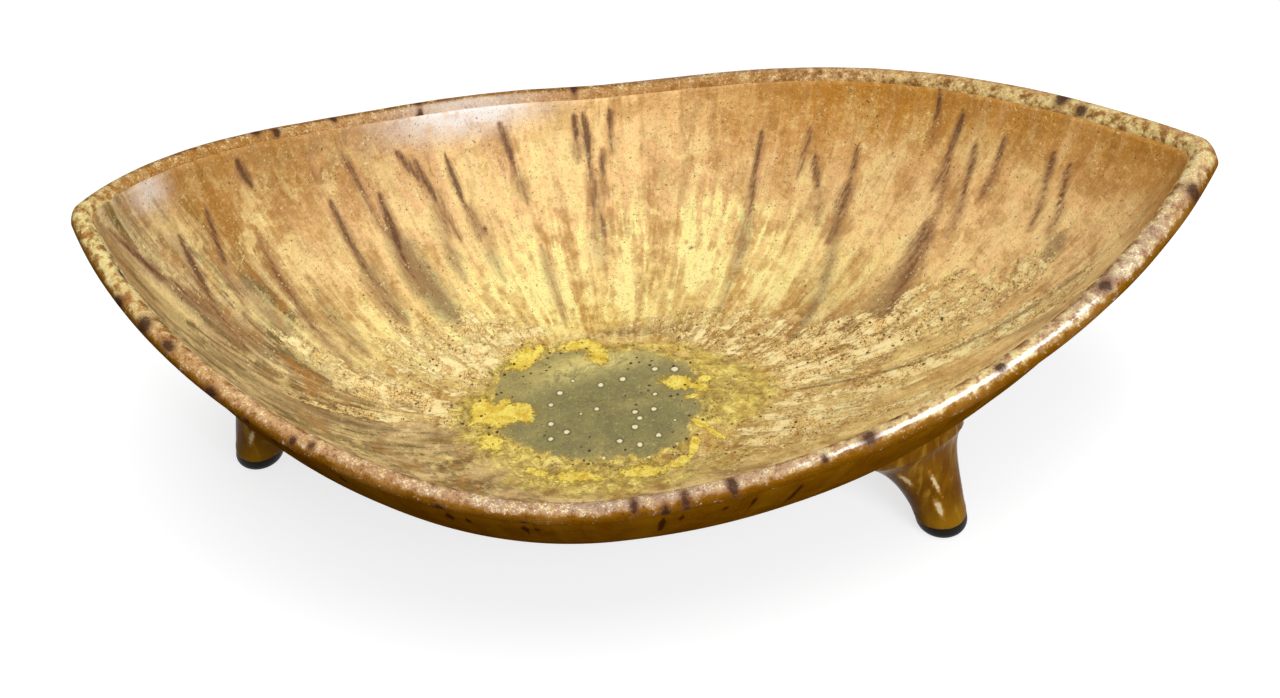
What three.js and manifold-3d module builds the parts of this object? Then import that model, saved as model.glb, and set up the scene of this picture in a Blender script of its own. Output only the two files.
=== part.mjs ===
import * as THREE from 'three';
import { mergeVertices } from 'three/addons/utils/BufferGeometryUtils.js';
import Module from 'manifold-3d';

const wasm = await Module();
wasm.setup();

// A leaf-shaped stoneware bowl on three legs, glazed, with a pool of melted glass inside.
// Millimetres. +Z is up and the table is Z = 0. +X runs along the bowl to its longer end,
// and the near long side faces -Y.

// Plan of the inner face of the wall at the lip, measured from the middle of the glass pool
const REACH_LEFT = 162.4;
const REACH_RIGHT = 208.0;
const HALF_WIDTH = 111.4;
const POINT_RADIUS = 9.0;
// Each long side swells by this share toward the right end and flattens toward the left
const FAR_SKEW = 0.062;
const NEAR_SKEW = 0.012;
// Lower contours of the inside have rounder ends, by this share of their half width
const LOW_ROUNDING = 0.55;

// Height of the lip above the lowest spot of the inside: at mid length and at the two points
const LIP_HEIGHT_SIDE = 66.4;
const LIP_HEIGHT_LEFT = 110.6;
const LIP_HEIGHT_RIGHT = 94.7;
const SHEER_POWER = 1.66;
// Slow wave of the lip, up in one pair of opposite quarters and down in the other
const LIP_WAVE = 2.0;

// Upward curve of the inside: the powers keep the bottom flat, the steepening turns the lip upright
const RISE_POWER_SIDE = 3.1;
const RISE_POWER_END = 3.4;
const RISE_STEEPENING = 0.864;

// Wall thickness at the bottom and at the lip
const WALL_BOTTOM = 6.6;
const WALL_LIP = 4.8;

// Round coil that finishes the lip, fatter at the right point, and where it sits on the wall
const COIL_RADIUS = 3.6;
const COIL_SWELL = 1.1;
const COIL_SWELL_POWER = 4;
const COIL_OUTSET = 0.45;

// Clearance between neighbouring pieces
const GAP = 0.3;
// Corners closer than this are one corner
const WELD_DISTANCE = 1e-4;

// Glass pool: how far up the inside it reaches, and the thickness of its edge
const POOL_SHARE = 0.33;
const POOL_EDGE = 0.7;

// Lowest spot of the inside above the table
const FLOOR_HEIGHT = 16.5;

// Feet: where they stand from the middle of the pool, their size and their flat underside
const FOOT_LEFT_X = -131.0;
const FOOT_LEFT_Y = 8.0;
const FOOT_RIGHT_X = 115.4;
const FOOT_RIGHT_Y = 59.0;
const FOOT_RADIUS = 9.2;
const FOOT_FLAT_RADIUS = 5.2;
const FOOT_ROUND_HEIGHT = 4.0;
const FOOT_TIP_HEIGHT = 6.0;

// Legs: how much wider they are at one height above the rounded end, how fast that grows,
// the lean of the outer edge, and the blank before it is cut
const LEG_FLARE = 9.63;
const LEG_FLARE_HEIGHT = 40.0;
const LEG_FLARE_POWER = 1.73;
const LEG_LEAN = 0.2;
const LEG_BLANK_TOP = 84.0;

// Facets, and the corners of one
const CORNERS = 3;
const BOWL_SEGMENTS = 88;
const POOL_SEGMENTS = 44;
const LEG_SEGMENTS = 24;
const WALL_STEPS = 11;
const POOL_STEPS = 4;
const LEG_STEPS = 10;
const FOOT_ROUND_STEPS = 4;
const COIL_STEPS = 12;
// Corners of the coil that its seat follows, counted back from the outward one
const SEAT_FACETS = [-5, -4, -3];
// Facets are crowded toward the two points by this share
const POINT_CROWDING = 0.38;

// Height of the solid that trims the legs, above the lip
const TRIM_HEADROOM = 20.0;

const FULL_TURN = 2 * Math.PI;
const QUARTER_TURN = Math.PI / 2;

function material(colour, roughness) {
  return new THREE.MeshStandardMaterial({ color: colour, roughness: roughness, metalness: 0 });
}

function blend(from, to, share) {
  return from + (to - from) * share;
}

// Radius of the long arc that runs from the widest spot into a rounded point
function arcRadius(reach, halfWidth, pointRadius) {
  const pointCentre = reach - pointRadius;
  const squares = pointCentre ** 2 + halfWidth ** 2 - pointRadius ** 2;
  return squares / (2 * (halfWidth - pointRadius));
}

// Distance from the middle to one contour of the inside, and how squarely the contour faces
// outward there. Each half is two long arcs joined by a rounded point.
function contour(theta, share) {
  if (share === 0) {
    return { radius: 0, facing: 1 };
  }
  const reach = share * (Math.cos(theta) >= 0 ? REACH_RIGHT : REACH_LEFT);
  const halfWidth = share * HALF_WIDTH;
  const pointRadius = share * POINT_RADIUS + (1 - share) * LOW_ROUNDING * halfWidth;
  const arc = arcRadius(reach, halfWidth, pointRadius);
  const along = Math.abs(Math.cos(theta));
  const across = Math.abs(Math.sin(theta));
  const arcDrop = arc - halfWidth;
  const pointCentre = reach - pointRadius;
  const grow = arc / (arc - pointRadius);
  const joinAngle = Math.atan2(arcDrop * (grow - 1), pointCentre * grow);
  let radius = 0;
  let facing = 1;
  if (Math.atan2(across, along) < joinAngle) {
    const side = Math.sqrt(pointRadius ** 2 - (pointCentre * across) ** 2);
    radius = pointCentre * along + side;
    facing = (radius - pointCentre * along) / pointRadius;
  } else {
    const reachSquared = (across * arcDrop) ** 2 + arc ** 2 - arcDrop ** 2;
    radius = Math.sqrt(reachSquared) - across * arcDrop;
    facing = (radius + arcDrop * across) / arc;
  }
  const skew = Math.sign(Math.cos(theta)) * (Math.sin(theta) > 0 ? FAR_SKEW : NEAR_SKEW);
  return { radius: radius * (1 + skew * Math.sin(2 * theta) ** 2), facing: facing };
}

// Height of the lip above the lowest spot of the inside
function lipHeight(theta) {
  const x = contour(theta, 1).radius * Math.cos(theta);
  const reach = x >= 0 ? REACH_RIGHT : REACH_LEFT;
  const end = x >= 0 ? LIP_HEIGHT_RIGHT : LIP_HEIGHT_LEFT;
  const sheer = (Math.abs(x) / reach) ** SHEER_POWER;
  return blend(LIP_HEIGHT_SIDE, end, sheer) - LIP_WAVE * Math.sin(2 * theta);
}

function risePower(theta) {
  return blend(RISE_POWER_SIDE, RISE_POWER_END, Math.cos(theta) ** 2);
}

// The contour share whose inner face lies a given distance below the lip
function shareBelowLip(theta, drop) {
  const left = (drop / lipHeight(theta)) ** (1 / RISE_STEEPENING);
  return (1 - left) ** (1 / risePower(theta));
}

function polar(theta, radius, height) {
  return new THREE.Vector3(radius * Math.cos(theta), radius * Math.sin(theta), FLOOR_HEIGHT + height);
}

// A point of the wall: on the inner face when depth is 0, deeper into the wall otherwise
function wallPoint(theta, share, depth) {
  const lip = contour(theta, 1);
  const here = contour(theta, share);
  const power = risePower(theta);
  const height = lipHeight(theta);
  const left = 1 - share ** power;
  const rise = height * (1 - left ** RISE_STEEPENING);
  const steepness = height * RISE_STEEPENING * left ** (RISE_STEEPENING - 1) * power * share ** (power - 1);
  const tilt = Math.atan2(steepness, lip.radius * lip.facing);
  const radius = here.radius + (depth * Math.sin(tilt)) / here.facing;
  return polar(theta, radius, rise - depth * Math.cos(tilt));
}

function wallThickness(share) {
  return blend(WALL_BOTTOM, WALL_LIP, share);
}

function coilRadius(theta) {
  return COIL_RADIUS + COIL_SWELL * Math.max(Math.cos(theta), 0) ** COIL_SWELL_POWER;
}

// A point around the centre line of the lip coil; angle 0 is outward and a quarter turn is up
function coilPoint(theta, angle, clearance) {
  const lip = contour(theta, 1);
  const coil = coilRadius(theta);
  const outset = COIL_OUTSET * WALL_LIP + (coil + clearance) * Math.cos(angle);
  const height = lipHeight(theta) - coil + (coil + clearance) * Math.sin(angle);
  return polar(theta, lip.radius + outset / lip.facing, height);
}

// The wall ends in a seat that cups the coil's underside
const SEAT_ANGLES = SEAT_FACETS.map((facet) => (facet * FULL_TURN) / COIL_STEPS);

function wallTopShare(theta) {
  const coil = coilRadius(theta);
  return shareBelowLip(theta, coil - (coil + GAP) * Math.sin(SEAT_ANGLES[0]));
}

// Facet angles around the bowl, crowded toward the two points
function facetAngle(turn) {
  return turn - POINT_CROWDING * Math.sin(2 * turn);
}

// Spins a section about the upright axis, then moves every vertex onto the leaf-shaped plan.
// Each station of the section is a function that gives its point for any angle.
function spin(stations, segments) {
  const section = stations.map((station) => {
    const point = station(QUARTER_TURN);
    return new THREE.Vector2(Math.hypot(point.x, point.y), point.z);
  });
  const geometry = new THREE.LatheGeometry(section, segments);
  const position = geometry.getAttribute('position');
  for (let index = 0; index < position.count; index += 1) {
    const segment = Math.floor(index / stations.length) % segments;
    const theta = facetAngle((segment * FULL_TURN) / segments);
    const point = stations[index % stations.length](theta);
    position.setXYZ(index, point.x, point.y, point.z);
  }
  return geometry;
}

// Turns a closed geometry into a solid that can be cut
function solid(geometry) {
  const bare = new THREE.BufferGeometry();
  bare.setAttribute('position', geometry.getAttribute('position').clone());
  bare.setIndex(geometry.getIndex());
  const welded = mergeVertices(bare, WELD_DISTANCE);
  const corners = welded.getIndex().array;
  const kept = [];
  for (let start = 0; start < corners.length; start += CORNERS) {
    const [a, b, c] = corners.slice(start, start + CORNERS);
    if (a !== b && b !== c && c !== a) {
      kept.push(a, b, c);
    }
  }
  const mesh = new wasm.Mesh({
    numProp: 3,
    vertProperties: new Float32Array(welded.getAttribute('position').array),
    triVerts: new Uint32Array(kept),
  });
  return new wasm.Manifold(mesh);
}

function toMesh(name, body, finish) {
  const result = body.getMesh();
  const geometry = new THREE.BufferGeometry();
  geometry.setAttribute('position', new THREE.BufferAttribute(new Float32Array(result.vertProperties), 3));
  geometry.setIndex(new THREE.BufferAttribute(new Uint32Array(result.triVerts), 1));
  geometry.computeVertexNormals();
  const mesh = new THREE.Mesh(geometry, finish);
  mesh.name = name;
  return mesh;
}

// Stations up the wall at one depth, from the middle to its top
function wallStations(steps, depthAt) {
  const stations = [];
  for (let step = 0; step <= steps; step += 1) {
    const portion = step / steps;
    stations.push((theta) => {
      const share = portion * wallTopShare(theta);
      return wallPoint(theta, share, depthAt(share));
    });
  }
  return stations;
}

// The body: an open shell with the coil seat along its top
function bowlBody() {
  const outer = wallStations(WALL_STEPS, wallThickness).slice(0, -1);
  const inner = wallStations(WALL_STEPS, () => 0).reverse();
  const seat = SEAT_ANGLES.map((angle) => (theta) => coilPoint(theta, angle, GAP)).reverse();
  return solid(spin([...outer, ...seat, ...inner], BOWL_SEGMENTS));
}

// Everything inside the outer face of the wall plus the clearance, used to trim the legs
function trimSolid() {
  const outer = wallStations(WALL_STEPS, (share) => wallThickness(share) + GAP);
  const brim = (theta) => coilPoint(theta, 0, GAP).setZ(topOfTrim());
  const middle = () => new THREE.Vector3(0, 0, topOfTrim());
  return solid(spin([...outer, brim, middle], BOWL_SEGMENTS));
}

function topOfTrim() {
  return FLOOR_HEIGHT + Math.max(LIP_HEIGHT_LEFT, LIP_HEIGHT_RIGHT) + TRIM_HEADROOM;
}

// The coil: a closed ring of round section that follows the lip
function rimCoil() {
  const ring = [];
  for (let step = 0; step <= COIL_STEPS; step += 1) {
    const angle = ((step % COIL_STEPS) * FULL_TURN) / COIL_STEPS;
    ring.push((theta) => coilPoint(theta, angle, 0));
  }
  return solid(spin(ring, BOWL_SEGMENTS));
}

// The pool: flat on top, following the inside of the bowl underneath
function glassPool() {
  const under = [];
  for (let step = 0; step <= POOL_STEPS; step += 1) {
    const share = (step / POOL_STEPS) * POOL_SHARE;
    under.push((theta) => wallPoint(theta, share, -GAP));
  }
  const edge = (theta) => wallPoint(theta, POOL_SHARE, -GAP).setZ(poolTop());
  const middle = () => new THREE.Vector3(0, 0, poolTop());
  return solid(spin([...under, edge, middle], POOL_SEGMENTS));
}

// The pool is as high as its edge needs where the inside climbs fastest
function poolTop() {
  const ends = [0, Math.PI].map((theta) => wallPoint(theta, POOL_SHARE, -GAP).z);
  return Math.max(...ends) + POOL_EDGE;
}

function legRadius(height) {
  if (height < FOOT_ROUND_HEIGHT) {
    const fall = 1 - height / FOOT_ROUND_HEIGHT;
    return FOOT_FLAT_RADIUS + (FOOT_RADIUS - FOOT_FLAT_RADIUS) * Math.sqrt(1 - fall ** 2);
  }
  const climb = (height - FOOT_ROUND_HEIGHT) / LEG_FLARE_HEIGHT;
  return FOOT_RADIUS + LEG_FLARE * climb ** LEG_FLARE_POWER;
}

// A slice of a leg between two heights, leaning in toward the middle of the bowl as it climbs
function legSlice(footX, footY, heights) {
  const section = heights.map((height) => new THREE.Vector2(legRadius(height), height));
  section.unshift(new THREE.Vector2(0, heights[0]));
  section.push(new THREE.Vector2(0, heights[heights.length - 1]));
  const geometry = new THREE.LatheGeometry(section, LEG_SEGMENTS);
  geometry.rotateX(QUARTER_TURN);
  const inward = new THREE.Vector2(-footX, -footY).normalize();
  const position = geometry.getAttribute('position');
  for (let index = 0; index < position.count; index += 1) {
    const height = position.getZ(index);
    const lean = Math.max(legRadius(height) - FOOT_RADIUS, 0) + LEG_LEAN * height;
    position.setX(index, position.getX(index) + footX + inward.x * lean);
    position.setY(index, position.getY(index) + footY + inward.y * lean);
  }
  return solid(geometry);
}

function steppedHeights(from, to, steps) {
  const heights = [];
  for (let step = 0; step <= steps; step += 1) {
    heights.push(blend(from, to, step / steps));
  }
  return heights;
}

// A leg: flared upward and trimmed by the underside of the bowl
function leg(footX, footY, trim) {
  const heights = steppedHeights(FOOT_TIP_HEIGHT + GAP, LEG_BLANK_TOP, LEG_STEPS);
  return legSlice(footX, footY, heights).subtract(trim);
}

// The dark bare end of a leg, rounded down to a flat standing face
function footTip(footX, footY) {
  const heights = steppedHeights(0, FOOT_ROUND_HEIGHT, FOOT_ROUND_STEPS);
  return legSlice(footX, footY, [...heights, FOOT_TIP_HEIGHT]);
}

const AMBER_GLAZE = material('#a9793a', 0.35);
const TAN_GLAZE = material('#c49a5c', 0.4);
const POOL_GLASS = material('#6f6f45', 0.15);
const BROWN_GLAZE = material('#8a5a1e', 0.3);
const DARK_CLAY = material('#1d1713', 0.75);

const feet = [
  { place: 'left', x: FOOT_LEFT_X, y: FOOT_LEFT_Y },
  { place: 'front_right', x: FOOT_RIGHT_X, y: -FOOT_RIGHT_Y },
  { place: 'back_right', x: FOOT_RIGHT_X, y: FOOT_RIGHT_Y },
];

const bowl = new THREE.Group();
bowl.name = 'tripod_bowl';
bowl.add(toMesh('bowl_body', bowlBody(), AMBER_GLAZE));
bowl.add(toMesh('rim_coil', rimCoil(), TAN_GLAZE));
bowl.add(toMesh('glass_pool', glassPool(), POOL_GLASS));
const trim = trimSolid();
for (const foot of feet) {
  bowl.add(toMesh(`leg_${foot.place}`, leg(foot.x, foot.y, trim), BROWN_GLAZE));
  bowl.add(toMesh(`foot_tip_${foot.place}`, footTip(foot.x, foot.y), DARK_CLAY));
}

// Centre the finished bowl over the origin
const extent = new THREE.Box3().setFromObject(bowl);
const centre = extent.getCenter(new THREE.Vector3());
for (const mesh of bowl.children) {
  mesh.geometry.translate(-centre.x, -centre.y, 0);
}

export default bowl;
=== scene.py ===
import math

import bpy
import numpy as np
from mathutils import Matrix


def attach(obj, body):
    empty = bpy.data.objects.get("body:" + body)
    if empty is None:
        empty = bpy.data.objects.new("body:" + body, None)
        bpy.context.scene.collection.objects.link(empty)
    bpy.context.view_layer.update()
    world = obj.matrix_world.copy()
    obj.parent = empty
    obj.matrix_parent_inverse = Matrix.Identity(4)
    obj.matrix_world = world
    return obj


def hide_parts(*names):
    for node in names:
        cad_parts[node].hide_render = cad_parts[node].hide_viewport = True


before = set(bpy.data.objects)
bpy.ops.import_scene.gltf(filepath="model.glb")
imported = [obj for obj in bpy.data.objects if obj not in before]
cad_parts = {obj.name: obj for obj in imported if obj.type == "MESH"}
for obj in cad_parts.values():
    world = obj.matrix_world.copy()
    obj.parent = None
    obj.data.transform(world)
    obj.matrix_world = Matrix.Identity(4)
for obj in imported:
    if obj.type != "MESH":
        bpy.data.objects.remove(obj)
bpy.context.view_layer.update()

# %% [markdown]
# A leaf-shaped stoneware bowl stands on three legs and holds a pool of melted glass. The packed
# part gives every place and size. Formulas work in millimetres, as the part's source does, and
# meshes are written in metres. The inside is a surface over two numbers: the angle around the
# pool, and the share of the way from the pool's middle out to the lip.

# %% Sizes of the shell
MM = 0.001
FULL_TURN = 2 * math.pi
TINY = 1e-9

# Plan of the inside at the lip, from the middle of the pool
MIDDLE_X = -23.35
FLOOR_HEIGHT = 16.5
REACH_LEFT = 162.4
REACH_RIGHT = 208.0
HALF_WIDTH = 111.4
POINT_RADIUS = 9.0
FAR_SKEW = 0.062
NEAR_SKEW = 0.012
LOW_ROUNDING = 0.55

# Height of the lip, the upward curve of the inside, and the wall
LIP_HEIGHT_SIDE = 66.4
LIP_HEIGHT_LEFT = 110.6
LIP_HEIGHT_RIGHT = 94.7
SHEER_POWER = 1.66
LIP_WAVE = 2.0
RISE_POWER_SIDE = 3.1
RISE_POWER_END = 3.4
RISE_STEEPENING = 0.864
WALL_BOTTOM = 6.6
WALL_LIP = 4.8
print("inside length in mm:", REACH_LEFT + REACH_RIGHT)

# %% [markdown]
# A potter would cut this leaf from a slab, drape it over a hump and roll a coil onto its edge.
# Its plan is made of arcs, because a few arcs hold the two points and the full sides exactly.

# %% Plan of the bowl
def contour(theta, share):
    """Distance from the middle to one contour of the inside, and how squarely it faces outward.
    Each half is two long arcs that meet in a rounded point, and each contour has its own size."""
    theta, share = np.broadcast_arrays(np.asarray(theta, float), np.asarray(share, float))
    held = np.maximum(share, TINY)
    reach = held * np.where(np.cos(theta) >= 0, REACH_RIGHT, REACH_LEFT)
    half_width = held * HALF_WIDTH
    point = held * POINT_RADIUS + (1 - held) * LOW_ROUNDING * half_width
    centre = reach - point
    arc = (centre ** 2 + half_width ** 2 - point ** 2) / (2 * (half_width - point))
    along = np.abs(np.cos(theta))
    across = np.abs(np.sin(theta))
    drop = arc - half_width
    grow = arc / (arc - point)
    join = np.arctan2(drop * (grow - 1), centre * grow)
    in_point = np.arctan2(across, along) < join
    side = np.sqrt(np.maximum(point ** 2 - (centre * across) ** 2, 0))
    near_point = centre * along + side
    on_arc = np.sqrt((across * drop) ** 2 + arc ** 2 - drop ** 2) - across * drop
    radius = np.where(in_point, near_point, on_arc)
    facing = np.where(in_point, side / point, (on_arc + drop * across) / arc)
    skew = np.sign(np.cos(theta)) * np.where(np.sin(theta) > 0, FAR_SKEW, NEAR_SKEW)
    return radius * (1 + skew * np.sin(2 * theta) ** 2) * (share > 0), facing


print("reach to the left and right in mm:", contour([math.pi, 0], 1)[0].round(1))

# %% [markdown]
# The edge climbs toward both points, and the wall follows it: flat at the bottom, upright at the
# lip. Both are powers, because a power has one number for how late a curve turns up.

# %% Lip line and wall
def polar(theta, radius, height):
    """Turns an angle, a distance and a height into a point of the part's frame."""
    theta, radius, height = np.broadcast_arrays(theta, radius, height)
    x = radius * np.cos(theta) + MIDDLE_X
    return np.stack([x, radius * np.sin(theta), FLOOR_HEIGHT + height], -1)


def lip_height(theta):
    """Height of the lip above the lowest spot: it climbs to both points as a power of length."""
    x = contour(theta, 1)[0] * np.cos(theta)
    reach = np.where(x >= 0, REACH_RIGHT, REACH_LEFT)
    end = np.where(x >= 0, LIP_HEIGHT_RIGHT, LIP_HEIGHT_LEFT)
    sheer = (np.abs(x) / reach) ** SHEER_POWER
    return LIP_HEIGHT_SIDE + (end - LIP_HEIGHT_SIDE) * sheer - LIP_WAVE * np.sin(2 * theta)


def rise_power(theta):
    """How sharply the inside turns up: a little more at the two ends than at the sides."""
    return RISE_POWER_SIDE + (RISE_POWER_END - RISE_POWER_SIDE) * np.cos(theta) ** 2


def wall_point(theta, share, depth):
    """A point of the wall: on the inner face at depth 0, and square into the wall by the depth.
    The rise is one minus a power of what is left, so the bottom is flat and the lip upright."""
    lip, lip_facing = contour(theta, 1)
    here, facing = contour(theta, share)
    power = rise_power(theta)
    height = lip_height(theta)
    left = np.maximum(1 - share ** power, TINY)
    rise = height * (1 - left ** RISE_STEEPENING)
    steepness = height * RISE_STEEPENING * left ** (RISE_STEEPENING - 1)
    steepness = steepness * power * np.maximum(share, TINY) ** (power - 1)
    tilt = np.arctan2(steepness, lip * lip_facing)
    radius = here + depth * np.sin(tilt) / facing
    return polar(theta, radius, rise - depth * np.cos(tilt))


print("lip height, left, far side, right:", lip_height(np.radians([180, 90, 0])).round(1))

# %% [markdown]
# The coil sits on the wall's edge and is a little fatter at the right point, as the hand left it.

# %% The coil on the edge
COIL_RADIUS = 3.6
COIL_SWELL = 1.1
COIL_SWELL_POWER = 4
COIL_OUTSET = 0.45


def coil_radius(theta):
    """Radius of the lip coil, fatter toward the right point."""
    return COIL_RADIUS + COIL_SWELL * np.maximum(np.cos(theta), 0) ** COIL_SWELL_POWER


def coil_point(theta, angle, inset):
    """A point around the coil's centre line. Angle 0 is outward and a quarter turn is up."""
    lip, facing = contour(theta, 1)
    coil = coil_radius(theta)
    outset = COIL_OUTSET * WALL_LIP + (coil - inset) * np.cos(angle)
    height = lip_height(theta) - coil + (coil - inset) * np.sin(angle)
    return polar(theta, lip + outset / facing, height)


print("coil radius at the left and right:", coil_radius(np.array([math.pi, 0.0])).round(2))

# %% [markdown]
# Four helpers serve every shape: crowded angles for the sharp points, a smooth step, a bell
# curve, and the slow waver that a hand leaves, from seeded sine waves so that it never changes.

# %% Small helpers for shapes
def ring_angles(count, crowding):
    """Angles around the bowl, closer together toward the two points."""
    turn = np.arange(count) * FULL_TURN / count
    return turn - crowding * np.sin(2 * turn)


def smooth(value, low, high):
    """An even S-shaped step from 0 at low to 1 at high."""
    portion = np.clip((value - low) / (high - low), 0, 1)
    return portion * portion * (3 - 2 * portion)


def bell(away, spread):
    """A bell curve: 1 at 0, and falling away over the spread."""
    return np.exp(-0.5 * (away / spread) ** 2)


def hand_wave(theta, seed, slowest, count):
    """A slow unevenness around the bowl: a few sine waves with seeded phases, about -1 to 1."""
    draw = np.random.default_rng(seed)
    total = np.zeros_like(theta)
    for wave in range(slowest, slowest + count):
        total += np.sin(wave * theta + draw.uniform(0, FULL_TURN)) * draw.uniform(0.5, 1)
    return total / count


print("a smooth step a quarter of the way up:", smooth(0.25, 0, 1))

# %% [markdown]
# Glaze runs downhill while it melts. Here its streaks start square to the lip. On the far side
# they lean toward the valley between the two points, and on the near side they fan out from it.
# Each spot is traced back up its streak to where it left the lip, and streak noise reads that
# place. The drift is blurred around the bowl, or streaks would shear where the points begin.

# %% Tracing the streaks
FLOW_LEAN_FAR = 0.55
FLOW_LEAN_NEAR = -0.45
SIDE_CHANGE = (-0.1, 0.1)
STEEPEST_LEAN = 1.5
LEAST_CLIMB = 1e-6
FLOW_ANGLES = 720
FLOW_BLUR = 14
FLOW_TOP = 0.995
FLOW_SHARES = np.linspace(1.0, 0.03, 160)


def trace_flow():
    """How far around the lip each streak has drifted, for a table of angles and shares.
    The drift per step is the angle part of the steepest way down, found from the metric."""
    theta = np.arange(FLOW_ANGLES) * FULL_TURN / FLOW_ANGLES
    grid, shares = np.meshgrid(theta, FLOW_SHARES, indexing="ij")
    points = wall_point(grid, np.minimum(shares, FLOW_TOP), 0)
    around = (np.roll(points, -1, 0) - np.roll(points, 1, 0)) / (2 * FULL_TURN / FLOW_ANGLES)
    outward = np.gradient(points, FLOW_SHARES, axis=1)
    aa = (around * around).sum(-1)
    ao = (around * outward).sum(-1)
    oo = (outward * outward).sum(-1)
    turn = oo * around[..., 2] - ao * outward[..., 2]
    climb = aa * outward[..., 2] - ao * around[..., 2]
    far_side = smooth(np.sin(grid), *SIDE_CHANGE)
    share_of_slope = FLOW_LEAN_NEAR + (FLOW_LEAN_FAR - FLOW_LEAN_NEAR) * far_side
    lean = share_of_slope * turn / np.maximum(climb, LEAST_CLIMB)
    lean = np.clip(lean, -STEEPEST_LEAN, STEEPEST_LEAN)
    drift = np.zeros_like(lean)
    for row in range(1, len(FLOW_SHARES)):
        shift = lean[:, row - 1] * (FLOW_SHARES[row - 1] - FLOW_SHARES[row])
        before = np.interp(theta + shift, theta, drift[:, row - 1], period=FULL_TURN)
        drift[:, row] = before + shift
    window = np.hanning(2 * FLOW_BLUR + 1)
    spread = range(-FLOW_BLUR, FLOW_BLUR + 1)
    total = sum(weight * np.roll(drift, move, 0) for weight, move in zip(window, spread))
    return total / window.sum()


FLOW_DRIFT = trace_flow()
print("widest drift in degrees:", round(math.degrees(np.abs(FLOW_DRIFT).max()), 1))

# %% Streak coordinates
FLOW_DEPTH = 110.0
LIP_LENGTH = np.linalg.norm(np.diff(coil_point(ring_angles(720, 0), 0.0, 0.0), axis=0), axis=1)
LIP_TRAVEL = np.concatenate([[0.0], np.cumsum(LIP_LENGTH)])
LIP_TURN = LIP_TRAVEL / (LIP_TRAVEL[-1] + LIP_LENGTH[-1])
LIP_WRAP = (LIP_TRAVEL[-1] + LIP_LENGTH[-1]) / FULL_TURN
print("lip length in mm:", round(float(LIP_WRAP * FULL_TURN)))


def lip_place(theta):
    """The lip wrapped onto a circle of the same length, so that noise has no seam on it."""
    turn = np.interp(theta % FULL_TURN, ring_angles(720, 0), LIP_TURN, period=FULL_TURN) * FULL_TURN
    return np.stack([LIP_WRAP * np.cos(turn), LIP_WRAP * np.sin(turn)], -1)


def flow_place(theta, share):
    """Streak coordinates: the place on the wrapped lip that the streak left, and its depth."""
    turn = (theta % FULL_TURN) / FULL_TURN * FLOW_ANGLES
    low = np.floor(turn).astype(int) % FLOW_ANGLES
    part = turn - np.floor(turn)
    place = np.interp(share, FLOW_SHARES[::-1], np.arange(len(FLOW_SHARES))[::-1])
    row = np.minimum(place.astype(int), len(FLOW_SHARES) - 2)
    rest = place - row

    def at(angle):
        """Drift along one line of the table, straight between its two nearest shares."""
        return FLOW_DRIFT[angle, row] * (1 - rest) + FLOW_DRIFT[angle, row + 1] * rest

    drift = at(low) * (1 - part) + at((low + 1) % FLOW_ANGLES) * part
    return np.concatenate([lip_place(theta + drift), ((1 - share) * FLOW_DEPTH)[..., None]], -1)


print("a streak of the far side came from:", flow_place(np.array([1.5]), np.array([0.5])).round(1))

# %% [markdown]
# Iron spots in the clay bled through the glaze as short dark runs, and greyer washes trail below
# them. Each run is one row: angle and share where it starts, the same where it ends, its half
# width in mm and its strength. Rows in degrees are easy to move by eye against the photograph.

# %% Runs of iron and crust
DARK_RUNS = [
    (157, .985, 157, .950, 2.0, 1.0), (140, .967, 140, .90, 1.2, .6),
    (137, .90, 139.5, .788, 1.9, .85), (130, .956, 127.5, .900, 1.6, .85),
    (127, .940, 126, .855, 1.7, .95), (120, .932, 120, .842, 1.5, .95),
    (106.5, .970, 105.5, .890, 1.6, 1.0), (90.5, .970, 90.5, .927, 1.6, 1.0),
    (88.5, .974, 88, .878, 1.7, 1.0), (88, .885, 86.5, .792, 1.1, .7),
    (85, .906, 85, .847, 1.2, .75), (83, .978, 83, .935, 1.5, .95),
    (53.5, .920, 52.5, .838, 1.5, .85), (52.5, .842, 50, .735, 1.2, .6),
    (45.5, .928, 45, .880, 1.3, .7), (43.5, .885, 40, .810, 1.6, .8),
    (37, .902, 35.5, .835, 1.4, .75), (35.5, .838, 34, .770, 2.2, .65),
    (29, .994, 28, .955, 1.3, .85), (25, .973, 24, .913, 1.7, 1.0),
    (24, .917, 21, .835, 1.2, .55), (21.5, .940, 19, .862, 1.4, .75),
    (18.5, .956, 17.5, .910, 1.1, .65), (12.5, .956, 10.5, .900, 1.6, .95),
    (10, .944, 8, .892, 1.4, .9), (20.5, .795, 12, .590, 2.6, .62),
    (171, .940, 174.5, .855, 1.7, .9), (165, .952, 168.5, .880, 1.4, .75),
    (146.5, .910, 149, .772, 1.7, .7), (179, .982, 177.3, .900, 1.5, .85),
    (161, .90, 165, .76, 1.2, .5), (117.5, .777, 117.5, .769, 1.3, 1.1),
    (60.5, .652, 60.5, .644, 1.3, 1.1),
]
GREY_RUNS = [
    (139, .84, 140, .56, 7.5, 1.35), (148, .80, 151, .62, 5.0, .7),
    (127, .86, 130, .66, 3.5, .5), (118, .84, 119, .62, 3.0, .5), (20, .80, 11, .50, 6.0, .6),
    (36, .80, 17, .41, 3.2, .75), (168, .86, 172, .70, 5.0, .6), (178, .93, 176, .72, 5.0, .7),
    (104, .70, 104, .42, 2.6, .5), (52, .76, 42, .42, 2.5, .45), (160, .78, 165, .60, 4.0, .5),
    (88, .8, 86, .6, 3.0, .35), (-8, .84, -3, .70, 5.0, .5), (5, .86, 4, .81, 4.5, .9),
    (14, .64, 14, .43, 3.0, .85), (184, .86, 188, .48, 4.5, .6), (172, .52, 176, .34, 3.0, .5),
    (140, .50, 146, .40, 5.0, .4), (-40, .50, -60, .40, 4.0, .4),
]
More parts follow.
